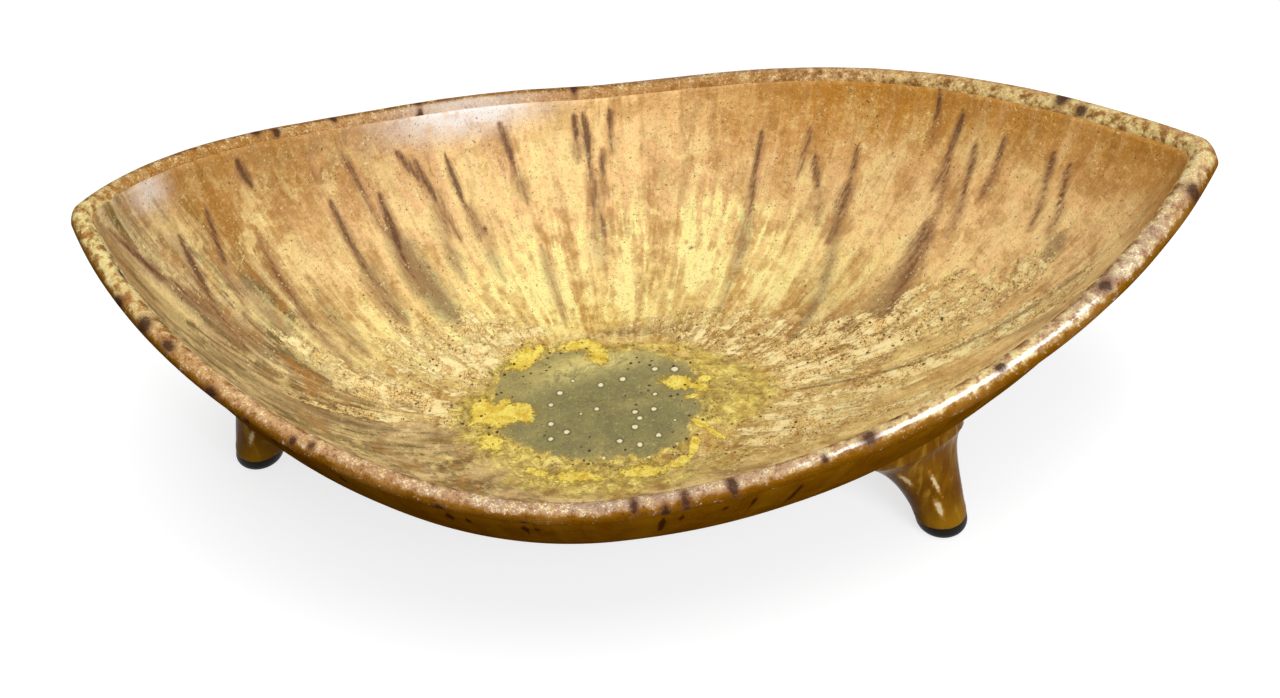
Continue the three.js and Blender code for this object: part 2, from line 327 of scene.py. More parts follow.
# Drips on the outside just under the lip, in the columns of the dark runs
OUTER_RUNS = [
    (-116, .985, -116, .925, 1.9, 1.0), (-113, .975, -113, .930, 1.3, .8),
    (-104, .960, -104, .905, 1.8, .9), (-102, .96, -102, .915, 1.3, .8),
    (-82, .985, -82, .890, 1.5, 1.0), (-79, .985, -79, .930, 1.5, .8),
    (-72, .985, -72, .930, 1.5, .8), (-67.5, .95, -67.5, .905, 1.8, .9),
    (-60.5, .985, -60.5, .860, 1.4, .7), (-144, .98, -144, .92, 1.8, .9),
    (-133, .98, -133, .93, 1.6, .8), (-35, .98, -33, .86, 1.6, .5),
    (-20, .98, -19, .9, 1.8, .55), (70, .98, 70, .86, 2.0, .8), (120, .98, 121, .9, 1.8, .8),
    (28, .98, 27, .88, 2.2, .8), (95, .98, 95, .93, 1.5, .9), (150, .98, 151, .88, 1.8, .7),
    (50, .98, 49, .93, 1.6, .7),
]
# Cream crust that built up along the two valleys
CRUST_RUNS = [
    (184, .30, 174, .41, 9.0, 1.5), (174, .38, 172.5, .62, 10.0, 1.15),
    (171, .56, 172, .76, 6.0, .58), (163, .42, 160, .62, 7.0, .5),
    (154, .44, 153, .66, 7.0, .42), (182, .42, 184, .70, 6.0, .35),
    (15, .30, 10, .58, 12.0, 1.0), (10, .50, 9, .74, 12.0, .6), (3, .31, 6, .56, 13.0, 1.4),
    (6, .52, 4, .82, 12.0, .66), (-8, .34, -3, .64, 10.0, .75), (-3, .58, -2, .86, 9.0, .62),
    (-2, .70, -8.5, .94, 3.0, .8), (-20, .40, -12, .70, 7.0, .5),
]
print("runs:", len(DARK_RUNS), "dark,", len(GREY_RUNS), "grey,", len(CRUST_RUNS), "of crust")

# %% Fields of the runs
TAIL_LENGTH = 1.1
TAIL_WIDTH = 0.7
TAIL_STRENGTH = 0.36
TAIL_OVERLAP = 0.01
SHORTEST_TAIL = 0.04
FAR_FROM_RUN = -1.5
FARTHEST_MM = 1e9
RUN_POINTS = 9
NEAR_DEGREES = 12
NEAR_SHARE = 0.12
LEAST_TAPER = 0.04
TAPER_POWER = 0.4


def with_tails(table):
    """Adds a fainter, thinner tail below each dark run, in the same direction."""
    tails = []
    for start_angle, start_share, end_angle, end_share, width, strength in table:
        drop = TAIL_LENGTH * (start_share - end_share)
        if drop > SHORTEST_TAIL:
            last_angle = end_angle + TAIL_LENGTH * (end_angle - start_angle)
            tails.append((end_angle, end_share + TAIL_OVERLAP, last_angle, end_share - drop,
                          width * TAIL_WIDTH, strength * TAIL_STRENGTH))
    return table + tails


def run_field(theta, share, depth, table):
    """Strength of the nearest run: its own strength on its middle line, 0 at its edge and below
    0 outside. A run is a chain of short pieces laid on the wall, with two tapered ends."""
    points = wall_point(theta, share, depth)
    degrees = np.degrees(theta)
    field = np.full(theta.shape, FAR_FROM_RUN)
    portion = np.linspace(0, 1, RUN_POINTS)
    for start_angle, start_share, end_angle, end_share, width, strength in table:
        angles = np.radians(start_angle + (end_angle - start_angle) * portion)
        line = wall_point(angles, start_share + (end_share - start_share) * portion, depth)
        away = (degrees - (start_angle + end_angle) / 2 + 180) % 360 - 180
        close = np.abs(away) < abs(end_angle - start_angle) / 2 + NEAR_DEGREES
        close &= share > min(start_share, end_share) - NEAR_SHARE
        close &= share < max(start_share, end_share) + NEAR_SHARE
        where = np.nonzero(close)
        near = points[where]
        best = np.full(len(near), FARTHEST_MM)
        along = np.zeros(len(near))
        for piece in range(len(line) - 1):
            edge = line[piece + 1] - line[piece]
            spot = np.clip(((near - line[piece]) @ edge) / (edge @ edge), 0, 1)
            away_mm = np.linalg.norm(near - line[piece] - spot[:, None] * edge, axis=1)
            better = away_mm < best
            best = np.where(better, away_mm, best)
            along = np.where(better, (piece + spot) / (len(line) - 1), along)
        taper = np.maximum(4 * along * (1 - along), LEAST_TAPER) ** TAPER_POWER
        value = np.maximum(strength * (1 - best / (width * taper)), FAR_FROM_RUN)
        field[where] = np.maximum(field[where], value)
    return field


print("tails added:", len(with_tails(DARK_RUNS)) - len(DARK_RUNS))

# %% [markdown]
# Where the glaze lay thick, thin or mixed it took another colour, in areas without an edge, and
# one area is a painted sheen. An area is a bell curve, given by its angle, its share, the spread of
# each, and its amount.

# %% Soft areas of another colour
SOFT_AREAS = {
    "amber": [
        (30, 1.0, 26, .09, 1.1), (12, 1.0, 14, .045, 1.0), (-8, .95, 10, .06, .3),
        (56, .86, 22, .10, .35), (161, .90, 9, .06, .9), (146, .985, 20, .045, .8),
        (170, .95, 8, .05, .4), (-45, .72, 24, .2, .3), (-90, .6, 60, .2, .3),
        (22, .45, 14, .08, .6), (16, .50, 6, .05, .9), (42, .52, 12, .07, .5),
    ],
    "olive": [
        (-150, .85, 26, .30, 1.1), (-165, .62, 14, .25, 1.0), (173, .83, 4, .04, .9),
        (-110, .70, 40, .30, .6), (-60, .62, 30, .20, .35), (172, .78, 7, .07, .35),
        (179, .93, 4, .08, .5), (170, .8, 9, .09, .15), (-4, .83, 6, .08, .3),
        (-172, .86, 9, .13, .9), (10, .48, 14, .12, .4), (180, .78, 6, .10, .5),
        (92, .345, 26, .012, .8), (50, .35, 20, .035, .8), (-90, .46, 50, .07, .3),
        (-20, .36, 10, .05, .5),
    ],
    "pale": [
        (98, .90, 10, .05, .35), (57, .74, 6, .05, .7), (50, .69, 5, .05, .6),
        (98, .72, 8, .05, .5), (76, .71, 10, .05, .5), (92, .52, 34, .09, .9),
        (68, .58, 20, .12, .85), (118, .55, 16, .12, .7), (35, .62, 14, .10, .35),
        (140, .50, 14, .10, .6), (150, .62, 14, .12, .35), (90, .66, 26, .08, .5),
        (165, .7, 10, .1, .3), (122, .20, 26, .05, .9), (82, .205, 24, .045, .9),
    ],
    "rose": [
        (128, .93, 24, .09, .8), (70, .84, 38, .09, .6), (15, .84, 22, .08, .5),
        (160, .97, 14, .04, .4), (110, .80, 26, .12, .5), (-120, .55, 40, .12, .25),
    ],
    "peach": [
        (88, .97, 18, .06, .95), (102, .87, 15, .07, .8), (76, .96, 9, .04, .6),
        (121, .77, 6, .06, .55), (-5, .47, 8, .06, .5), (9, .87, 10, .05, 1.0),
        (4, .79, 10, .06, 1.1), (94, .80, 12, .06, .6), (0, .72, 16, .08, .7),
        (30, .78, 16, .08, .55), (76, .80, 14, .06, .4), (120, .88, 20, .08, .3),
        (145, .80, 12, .08, .3),
    ],
    "dusk": [
        (146, .96, 13, .06, 1.1), (17, .53, 9, .07, 1.2), (-52, .42, 18, .08, .7),
        (62, .44, 8, .05, .4),
    ],
    "crust": [
        (156, .40, 10, .06, .60), (126, .43, 12, .05, .25), (60, .38, 14, .04, .2),
        (28, .37, 14, .07, .50), (-14, .42, 12, .08, .5), (150, .52, 16, .08, .3),
        (-38, .36, 14, .05, .35),
    ],
    # Yellow-green crumbs of glass round the pool
    "fringe": [
        (-96, .355, 38, .07, 1.15), (-160, .31, 14, .026, 1.0), (172, .30, 10, .03, .7),
        (-6, .235, 14, .05, 1.1), (20, .25, 14, .035, .8), (60, .280, 24, .015, .6),
        (118, .330, 24, .014, .6), (145, .360, 10, .015, .5),
    ],
    # Painted sheen: a pale patch under the lip that paints a highlight into the glaze colour
    "painted_sheen": [(117, .985, 9, .020, 1.0), (106, .985, 7, .014, .6), (171, .985, 2.0, .010, .65)],
}
FULLEST_AREA = 1.2


def area_field(theta, share, table):
    """Sum of soft oval patches, each a bell curve in angle and in share."""
    degrees = np.degrees(theta)
    field = np.zeros(theta.shape)
    for angle, level, angle_spread, share_spread, amount in table:
        away = (degrees - angle + 180) % 360 - 180
        field += amount * bell(away, angle_spread) * bell(share - level, share_spread)
    return np.minimum(field, FULLEST_AREA)


print("soft areas:", {name: len(table) for name, table in SOFT_AREAS.items()})

# %% [markdown]
# Crushed glass was laid in the bottom before firing. It melted to a grey-green sheet with a torn
# yellow border, tongues of yellow glass, and pale bubbles. The outline is a share of the way to
# the lip, every 15 to 30 degrees; the tongues and bubbles are in mm from the pool's middle.

# %% What lies in the pool
MELT_OUTLINE = [
    (-159, .262), (-135, .262), (-102, .258), (-71, .272), (-46, .268), (-25, .215), (-3, .165),
    (25, .205), (55, .240), (88, .262), (110, .295), (122, .315), (142, .340), (155, .310),
    (169, .268),
]
# Middle, half length, half width and turn of each tongue
GOLD_TONGUES = [
    (-38, -1.2, 9, 7.6, 0), (-31, -2.4, 7, 5.2, -12), (-45, 2, 5.5, 7, 0),
    (-28, 28.5, 8.5, 4.6, 38), (-24, 31.5, 4, 2, 30), (-7, 33.8, 8.5, 3, 0),
    (-0.5, 28, 4.5, 7, 10), (29, 6.5, 6.5, 4.6, -12), (35.5, 3.2, 5, 3, -30), (39, 7, 3, 2, 20),
    (34.5, -16.5, 4.6, 1.5, -38), (39.5, -21.5, 4.2, 1.2, -38), (31.5, -26.5, 2, 5.6, -14),
    (-42, -15, 5.5, 4, -45), (-12, -37.5, 9, 4.0, -6), (12, -37.5, 8.5, 3.8, 4),
    (26, -34, 6, 2.6, 20), (-25, -33.5, 5, 2.6, -25), (33, -2, 3, 1.4, 10),
]
# Middle and radius of each bubble
BUBBLES = [
    (-19.2, 0.3, 1.15), (-19.6, -9.9, 1.25), (-19.9, -17.7, 1.2), (-15.6, 6.3, 1.3),
    (-14, -14.9, 1.35), (-2.5, -4.2, 1.05), (4.8, -22.2, 1.25), (11.4, -7.7, 1.25),
    (10.8, -15.6, 1.4), (12.9, -11.2, 1.2), (11.9, -24.7, 1.2), (18.4, -7.1, 1.25),
    (19, -21, 1.2), (20.5, 14.7, 1.3), (27.9, 13.6, 1.6), (8.1, 10.8, 1.4), (-0.2, 8.6, 1.3),
    (19.4, 0.9, 1), (-10.5, 12.3, 0.8), (23.6, -30, 0.8), (-1.4, -29, 0.8), (14.6, -30.5, 0.8),
    (25.6, -14, 0.7), (-8.4, -6, 0.6),
]
MELT_SLOPE = 0.8
MELT_REACH = 20
NEAR_WALL = (0.1, 0.6)
ABOVE_POOL = (0.2, 0.3)


def melt_field(theta, share):
    """Distance in mm inside the outline of the grey-green glass, negative outside it."""
    angles, levels = np.array(MELT_OUTLINE).T
    edge = np.interp(np.degrees(theta) % 360, angles % 360, levels, period=360)
    inside = (edge - share) * contour(theta, 1)[0] * MELT_SLOPE
    return np.clip(inside, -MELT_REACH, MELT_REACH)


def oval_field(points, ovals, lowest):
    """1 in the middle of an oval of the pool, 0 at its edge and below 0 outside."""
    field = np.full(points.shape[:-1], lowest)
    for x, y, long_half, short_half, turn in ovals:
        away_x = points[..., 0] - MIDDLE_X - x
        away_y = points[..., 1] - y
        cosine = math.cos(math.radians(turn))
        sine = math.sin(math.radians(turn))
        along = (away_x * cosine + away_y * sine) / long_half
        across = (away_y * cosine - away_x * sine) / short_half
        field = np.maximum(field, 1 - np.hypot(along, across))
    return field


def glaze_fields(theta, share, points):
    """Every field that the inside glaze reads, for one set of surface points."""
    fields = {name: area_field(theta, share, table) for name, table in SOFT_AREAS.items()}
    fields["crust"] = np.maximum(fields["crust"], run_field(theta, share, 0.0, CRUST_RUNS))
    fields["share"] = share
    fields["calm"] = smooth(-np.sin(theta), *NEAR_WALL) * smooth(share, *ABOVE_POOL)
    fields["flow"] = flow_place(theta, share)
    fields["run"] = run_field(theta, share, 0.0, with_tails(DARK_RUNS))
    fields["grey"] = run_field(theta, share, 0.0, GREY_RUNS)
    fields["melt"] = melt_field(theta, share)
    fields["tongue"] = oval_field(points, GOLD_TONGUES, -3.0)
    fields["bubble"] = oval_field(points, [(x, y, r, r, 0) for x, y, r in BUBBLES], -2.0)
    return fields


print("in the pool:", len(GOLD_TONGUES), "tongues and", len(BUBBLES), "bubbles")

# %% [markdown]
# Every ceramic piece here is made of closed rings of points, one above the other, as a potter's
# coils are. Rings are joined by four-sided faces, and a ring that shrinks to a pole is one point.
# Whole rings are worked out at once, so a shape stays a formula and never a list of edits.

# %% Meshes from rings of points
def flat_rings(values, first_pole, last_pole):
    """Lays rings of values out in vertex order, with one value for each pole."""
    body = values[(1 if first_pole else 0):(len(values) - (1 if last_pole else 0))]
    parts = [body.reshape((-1,) + values.shape[2:])]
    if first_pole:
        parts.insert(0, values[0].mean(0)[None])
    if last_pole:
        parts.append(values[-1].mean(0)[None])
    return np.concatenate(parts)


def ring_faces(rings, count, first_pole, last_pole, closed):
    """Faces between neighbouring rings, with triangles around each pole."""
    offset = 1 if first_pole else 0
    body = rings - offset - (1 if last_pole else 0)
    column = np.arange(count)
    after = (column + 1) % count
    faces = []
    for ring in range(body if closed else body - 1):
        low = offset + ring * count
        high = offset + ((ring + 1) % body) * count
        faces += np.stack([low + column, low + after, high + after, high + column], 1).tolist()
    if first_pole:
        faces += np.stack([np.zeros(count, int), offset + after, offset + column], 1).tolist()
    if last_pole:
        top = offset + body * count
        base = top - count
        faces += np.stack([np.full(count, top), base + column, base + after], 1).tolist()
    return faces


def signed_volume(points, faces):
    """Six times the volume that the faces close in, above 0 when they face outward."""
    total = 0.0
    for size in (3, 4):
        chosen = np.array([face for face in faces if len(face) == size])
        for corner in range(1, size - 1) if len(chosen) else ():
            a, b, c = (points[chosen[:, index]] for index in (0, corner, corner + 1))
            total += float((a * np.cross(b, c)).sum())
    return total


print("faces between two rings of four points:", len(ring_faces(2, 4, False, False, False)))

# %% A finished piece
def ring_piece(name, rings, node, finish, fields=None, poles=True, closed=False):
    """Makes one closed, smooth-shaded piece from an array of rings and gives it its fields."""
    points = flat_rings(rings, poles, poles)
    faces = ring_faces(len(rings), rings.shape[1], poles, poles, closed)
    if signed_volume(points, faces) < 0:
        faces = [face[::-1] for face in faces]
    mesh = bpy.data.meshes.new(name)
    mesh.from_pydata((points * MM).tolist(), [], faces)
    for key, values in (fields or {}).items():
        is_vector = values.ndim == 3
        layer = mesh.attributes.new(key, "FLOAT_VECTOR" if is_vector else "FLOAT", "POINT")
        flat = flat_rings(values, poles, poles).astype(np.float32).ravel()
        layer.data.foreach_set("vector" if is_vector else "value", flat)
    mesh.polygons.foreach_set("use_smooth", [True] * len(mesh.polygons))
    mesh.update()
    mesh.materials.append(finish)
    piece = bpy.data.objects.new(name, mesh)
    bpy.context.scene.collection.objects.link(piece)
    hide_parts(node)
    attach(piece, "root")
    print(name, len(mesh.vertices), "points", len(mesh.polygons), "faces")
    return piece


# %% [markdown]
# A finish is a sheet of nodes. These short helpers add one node each and hand back its output.
# Real glaze goes on in coats, so each finish below is a list of coats: a colour, and the bands
# whose product says how thick it lies. A band is a value, the level where it starts, the level
# where it is full, and how thick it is there.

# %% Colours and node sheets
def tone(code):
    """A colour code as the linear colour that the shader works in."""
    parts = [int(code[index:index + 2], 16) / 255 for index in (1, 3, 5)]
    curved = [((part + 0.055) / 1.055) ** 2.4 for part in parts]
    return [part / 12.92 if part <= 0.04045 else bent for part, bent in zip(parts, curved)] + [1.0]


class Sheet:
    """The node tree of one material, with a helper for each kind of node that is used."""

    def __init__(self, name):
        """A new node tree with its shader, and the place on the object in mm."""
        self.material = bpy.data.materials.new(name)
        self.material.use_nodes = True
        self.tree = self.material.node_tree
        self.shader = self.tree.nodes["Principled BSDF"]
        coordinates = self.tree.nodes.new("ShaderNodeTexCoord")
        self.place = self.stretch(coordinates.outputs["Object"], 1 / MM)

    def add(self, kind, inputs, **settings):
        """Adds a node. A socket is linked, a colour code becomes a colour, a number is set."""
        node = self.tree.nodes.new(kind)
        for key, value in settings.items():
            setattr(node, key, value)
        for key, value in inputs.items():
            if isinstance(value, bpy.types.NodeSocket):
                self.tree.links.new(value, node.inputs[key])
            else:
                node.inputs[key].default_value = tone(value) if isinstance(value, str) else value
        return node

    def field(self, name):
        """A number that the mesh carries at each of its points."""
        return self.add("ShaderNodeAttribute", {}, attribute_name=name).outputs["Fac"]

    def vector(self, name):
        """A vector that the mesh carries at each of its points."""
        return self.add("ShaderNodeAttribute", {}, attribute_name=name).outputs["Vector"]

    def stretch(self, vector, factors):
        """A vector times one factor, or times a factor for each axis."""
        factors = (factors,) * 3 if isinstance(factors, float) else factors
        inputs = {0: vector, 1: factors}
        return self.add("ShaderNodeVectorMath", inputs, operation="MULTIPLY").outputs[0]

    def noise(self, vector, factors, detail=2.0, roughness=0.5, twist=0.0):
        """A cloudy noise from 0 to 1. A small factor draws it out along that axis."""
        inputs = {"Vector": self.stretch(vector, factors), "Scale": 1.0, "Detail": detail}
        inputs.update({"Roughness": roughness, "Distortion": twist})
        return self.add("ShaderNodeTexNoise", inputs).outputs["Fac"]

    def cells(self, vector, scale, feature="F1"):
        """Distance to the nearest cell middle, or to the nearest border between cells."""
        inputs = {"Vector": vector, "Scale": scale}
        return self.add("ShaderNodeTexVoronoi", inputs, feature=feature).outputs["Distance"]

    def calc(self, kind, first, second=0.0, third=0.0):
        """One step of arithmetic with up to three numbers or sockets."""
        inputs = {0: first, 1: second, 2: third}
        return self.add("ShaderNodeMath", inputs, operation=kind).outputs[0]

    def times(self, first, second):
        """The first value times the second."""
        return self.calc("MULTIPLY", first, second)

    def scaled(self, value, factor, offset=0.0):
        """The value times a factor, plus an offset."""
        return self.calc("MULTIPLY_ADD", value, factor, offset)

    def stirred(self, value, *noises):
        """Adds noises to a value, each times its amount and with its middle moved to 0."""
        for noise, amount in noises:
            value = self.calc("ADD", value, self.scaled(noise, amount, -amount / 2))
        return value

    def blend(self, amount, under, over):
        """The lower value plus an amount times the difference between the two."""
        return self.scaled(self.calc("SUBTRACT", over, under), amount, under)

    def step(self, value, low, high, top=1.0):
        """An S-shaped step from 0 at low to the top value at high. Low may lie above high."""
        inputs = {"Value": value, "From Min": low, "From Max": high, "To Min": 0.0, "To Max": top}
        node = self.add("ShaderNodeMapRange", inputs, interpolation_type="SMOOTHSTEP")
        return node.outputs["Result"]

    def ramp(self, value, stops):
        """A colour looked up along a row of stops, each a place and a colour code."""
        node = self.add("ShaderNodeValToRGB", {"Fac": value})
        points = node.color_ramp.elements
        while len(points) < len(stops):
            points.new(0.5)
        for point, (place, code) in zip(points, stops):
            point.position = place
            point.color = tone(code)
        return node.outputs["Color"]

    def mix(self, amount, under, over):
        """The lower colour plus an amount times the difference between the two."""
        inputs = {0: amount, 6: under, 7: over}
        return self.add("ShaderNodeMix", inputs, data_type="RGBA").outputs[2]

    def thickness(self, *bands):
        """The product of fields, numbers and bands, from 0 to 1."""
        parts = [self.step(*band) if isinstance(band, tuple) else band for band in bands]
        total = parts[0]
        for part in parts[1:]:
            total = self.times(total, part)
        return total

    def coats(self, colour, rows):
        """Lays coats over a colour, each as thick as its bands say."""
        for over, *bands in rows:
            colour = self.mix(self.thickness(*bands), colour, over)
        print(self.material.name, len(rows), "coats")
        return colour

    def finish(self, colour, roughness, height, depth, shine):
        """Wires colour, roughness and relief to the shader. The relief is in mm."""
        self.tree.links.new(colour, self.shader.inputs["Base Color"])
        if isinstance(roughness, float):
            self.shader.inputs["Roughness"].default_value = roughness
        else:
            self.tree.links.new(roughness, self.shader.inputs["Roughness"])
        inputs = {"Height": height, "Distance": depth * MM, "Strength": 1.0}
        bump = self.add("ShaderNodeBump", inputs).outputs[0]
        self.tree.links.new(bump, self.shader.inputs["Normal"])
        self.shader.inputs["Specular IOR Level"].default_value = shine
        print(self.material.name, len(self.tree.nodes), "nodes")
        return self.material


print("half grey as the shader sees it:", round(tone("#808080")[0], 3))

# %% [markdown]
# The inside is one run of glaze from the lip to the glass, so the shell and the pool share one
# recipe. Some noises follow the streaks and some stay in place. On the near wall the glaze lay
# still and smeared along the bowl, so there the streak noises give way to a calm one.

# %% Noises of the inside glaze
def stir_glaze(sheet):
    """Puts the noises that the coats share onto the sheet."""
    place = sheet.place
    flow = sheet.flow = sheet.vector("flow")
    sheet.share = sheet.field("share")
    sheet.cloud = sheet.noise(place, .03, 3.0)
    sheet.mottle = sheet.noise(place, .16, 4.0, .6)
    sheet.crumb = sheet.noise(place, .5, 4.0, .7)
    sheet.grain = sheet.noise(place, 1.4, 2.0, .7)
    sheet.smear = sheet.noise(place, (.07, .14, .14), 4.0, .6, .5)
    sheet.swirl = sheet.noise(place, .22, 6.0, .75, .6)
    sheet.broad = sheet.noise(flow, (.085, .085, .02), 3.0, .55, .8)
    low = sheet.step(sheet.share, .78, .45)
    narrow = sheet.blend(low, sheet.noise(flow, (.20, .20, .065), 4.0, .6, .8),
                         sheet.noise(flow, (.075, .075, .05), 4.0, .6, .8))
    thread = sheet.blend(low, sheet.noise(flow, (.50, .50, .17), 4.0, .7, .6),
                         sheet.noise(flow, (.17, .17, .10), 4.0, .7, .6))
    sheet.narrow = calmed(sheet, narrow, sheet.smear)
    sheet.thread = calmed(sheet, thread, sheet.mottle)


def calmed(sheet, streaky, still):
    """A streaky noise that gives way to a still one on the near wall."""
    return sheet.blend(sheet.field("calm"), streaky, still)


# %% [markdown]
# Ochre at the lip thins to peach and to straw at the bottom. The soft areas go over that.

# %% Ground coats
def ground_coats(sheet):
    """Ochre, peach and straw by a ramp over the share, then the soft areas coat by coat."""
    level = sheet.stirred(sheet.share, (sheet.broad, .22), (sheet.narrow, .18), (sheet.cloud, .16))
    colour = sheet.ramp(level, [
        (.30, "#dfb963"), (.42, "#eed480"), (.56, "#f1d88c"), (.70, "#f7d790"),
        (.82, "#f9d49a"), (.91, "#f2c68c"), (.965, "#dcac6d"), (1.0, "#c09052"),
    ])
    valley = sheet.mix(sheet.step(sheet.narrow, .40, .60), "#6d5d36", "#c6ac80")
    return sheet.coats(colour, [
        ("#daab88", sheet.field("rose"), (sheet.mottle, .25, .7, .65)),
        ("#b97f26", sheet.field("amber"), (sheet.broad, .15, .6, .95)),
        ("#fbd295", sheet.field("peach"), (sheet.broad, .25, .65, .9)),
        ("#a0743f", sheet.field("dusk"), (sheet.mottle, .30, .65, .8)),
        (valley, sheet.field("olive"), (sheet.broad, .12, .52, .92)),
    ])


# %% [markdown]
# The streaks are two sided: pale where the glaze ran thick, brown where it ran thin. Each noise
# paints both sides, so that they never lie over each other. Near the pool the skin is gritty.

# %% Streaks, patches and grit
def streak_coats(sheet, colour):
    """Pale coats where each noise is high, and brown coats where the same noise is low."""
    place, mottle, thread = sheet.place, sheet.mottle, sheet.thread
    drip = calmed(sheet, sheet.noise(sheet.flow, (.13, .13, .03), 2.0, .5, .5), mottle)
    mark = sheet.stirred(sheet.blend(.5, sheet.narrow, drip), (mottle, .6))
    tear = sheet.stirred(sheet.blend(.6, sheet.narrow, drip), (mottle, .35))
    patch = sheet.noise(place, (.075, .075, .045), 5.0, .62, .3)
    blotch = calmed(sheet, sheet.noise(sheet.flow, (.10, .10, .05), 5.0, .66, .4), sheet.smear)
    grit = sheet.noise(place, (.30, .42, .42), 5.0, .75, .3)
    open_wall = sheet.step(sheet.share, 1.0, .90)
    pale = sheet.field("pale")
    low_down = sheet.step(sheet.share, .46, .28, .6)
    sheet.near_pool = sheet.calc("MAXIMUM", low_down, sheet.step(sheet.field("crust"), .0, .4, .9))
    gritty = sheet.scaled(sheet.near_pool, .72, .28)
    return sheet.coats(colour, [
        ("#f8e4a6", (mark, .52, .68, .5), open_wall),
        ("#9a7039", (mark, .49, .30, .55)),
        ("#fae2a0", (patch, .53, .60, .55), open_wall),
        ("#b17c3c", (patch, .47, .40, .48)),
        ("#f2d794", (blotch, .52, .70, .4), open_wall),
        ("#a5763d", (blotch, .48, .32, .4)),
        ("#b8863f", pale, (tear, .46, .34, .5)),
        ("#fbf0a2", pale, (tear, .47, .57)),
        ("#f3e0ac", (thread, .54, .76, .20)),
        ("#936935", (thread, .46, .26, .4)),
        ("#a07040", (sheet.crumb, .40, .27, .6)),
        ("#fcea9e", (grit, .52, .62, .75), gritty),
        ("#855a28", (grit, .47, .36, .85), gritty),
    ])


# %% [markdown]
# The iron runs are brown at their edge and nearly black inside. Their edge is broken by three
# noises, because the iron spread along the streaks and stopped at every grain. The pale sheen
# under the far lip is a painted highlight, so that it stays in place under any light.

# %% Iron and painted sheen
def iron_coats(sheet, colour):
    """Bands of a run's strength after noises are added to it, so that its edge tears."""
    wash = sheet.stirred(sheet.field("grey"), (sheet.thread, 1.6), (sheet.mottle, 1.0))
    run = sheet.calc("ADD", sheet.field("run"), -.1)
    run = sheet.stirred(run, (sheet.crumb, 1.2), (sheet.thread, 2.2), (sheet.grain, .8))
    return sheet.coats(colour, [
        ("#856b4a", (wash, -.4, 1.05, .82)),
        # Painted sheen: a highlight under the far lip, painted as a pale patch
        ("#f5f0f0", sheet.field("painted_sheen"), (sheet.mottle, .15, .55)),
        ("#946845", (run, -1.1, .35, .65)),
        ("#523424", (run, -.2, .75, .82)),
    ])


# %% [markdown]
# A cream crust dried in the two valleys and was raked along them. It breaks up in fibres, has a
# brown border, partly the dark gaps between its grains and partly painted shadow round the raised
# crust, and opens in places to a lace of small cracks.

# %% Crust
def crust_coats(sheet, colour):
    """Cream where the crust's strength plus its noises is above 0, brown just below that."""
    laid = sheet.field("crust")
    fiber = calmed(sheet, sheet.noise(sheet.flow, (.22, .22, .050), 5.0, .66, .5), sheet.smear)
    rake = sheet.noise(sheet.place, (.055, .30, .30), 5.0, .7, .4)
    bare = sheet.scaled(sheet.step(laid, .25, .0, 1.5), -1.0, -.18)
    crust = sheet.calc("ADD", laid, bare)
    crust = sheet.stirred(crust, (fiber, 4.6), (sheet.crumb, 2.0), (rake, 4.4))
    sheet.crust = crust
    cream = sheet.mix(sheet.step(sheet.mottle, .35, .65), "#fff1b6", "#f3d189")
    lace = sheet.stirred(sheet.cells(sheet.place, .75, "DISTANCE_TO_EDGE"), (sheet.crumb, .3))
    return sheet.coats(colour, [
        # Partly painted shadow round the raised crust, partly the dark gaps between its grains
        ("#92692f", (crust, -.25, .10, .40)),
        (cream, (crust, .10, .30, .96)),
        ("#7d5826", (lace, .10, .02, .75), (crust, .0, .4), (sheet.mottle, .42, .56)),
    ])


# %% [markdown]
# The pool has a ragged edge: straw-coloured crumbs first, then a dark crack, then the grey-green
# melt. The field of the melt is a distance in mm, so two noises can tear its edge by that much.

# %% Melted glass
def pool_coats(sheet, colour):
    """Bands of the distance inside the glass, after two noises are added to it."""
    mottle, crumb, swirl = sheet.mottle, sheet.crumb, sheet.swirl
    fringe = sheet.stirred(sheet.field("fringe"), (crumb, .8), (mottle, 1.4))
    ragged = sheet.stirred(sheet.field("melt"), (mottle, 8.0), (crumb, 6.0))
    sheet.melt = sheet.step(ragged, -.8, .8)
    straw = sheet.ramp(swirl, [
        (.36, "#80693a"), (.44, "#ac9750"), (.50, "#c3ad58"), (.56, "#e2cf68"), (.63, "#f7ec94"),
    ])
    glass = sheet.mix(sheet.step(sheet.cloud, .35, .65), "#8a8759", "#a89e67")
    glass = sheet.coats(glass, [
        ("#777353", (mottle, .60, .38, .5)),
        ("#dacf87", sheet.field("pale"), (swirl, .3, .6)),
        ("#d3c782", (crumb, .56, .70, .45)),
    ])
    return sheet.coats(colour, [
        (straw, (fringe, .15, .80, .85)),
        ("#625025", (ragged, -3.4, -2.2), (ragged, -.6, -1.6, .7), (sheet.cloud, .42, .6)),
        (straw, (ragged, -4.5, -1.5, .75)),
        (glass, sheet.melt),
    ])


# %% [markdown]
# Last come the small things: tongues of yellow glass, bubbles with a dark ring, pinholes where
# gas escaped from the crust, and the fine pale and brown grain that covers everything.

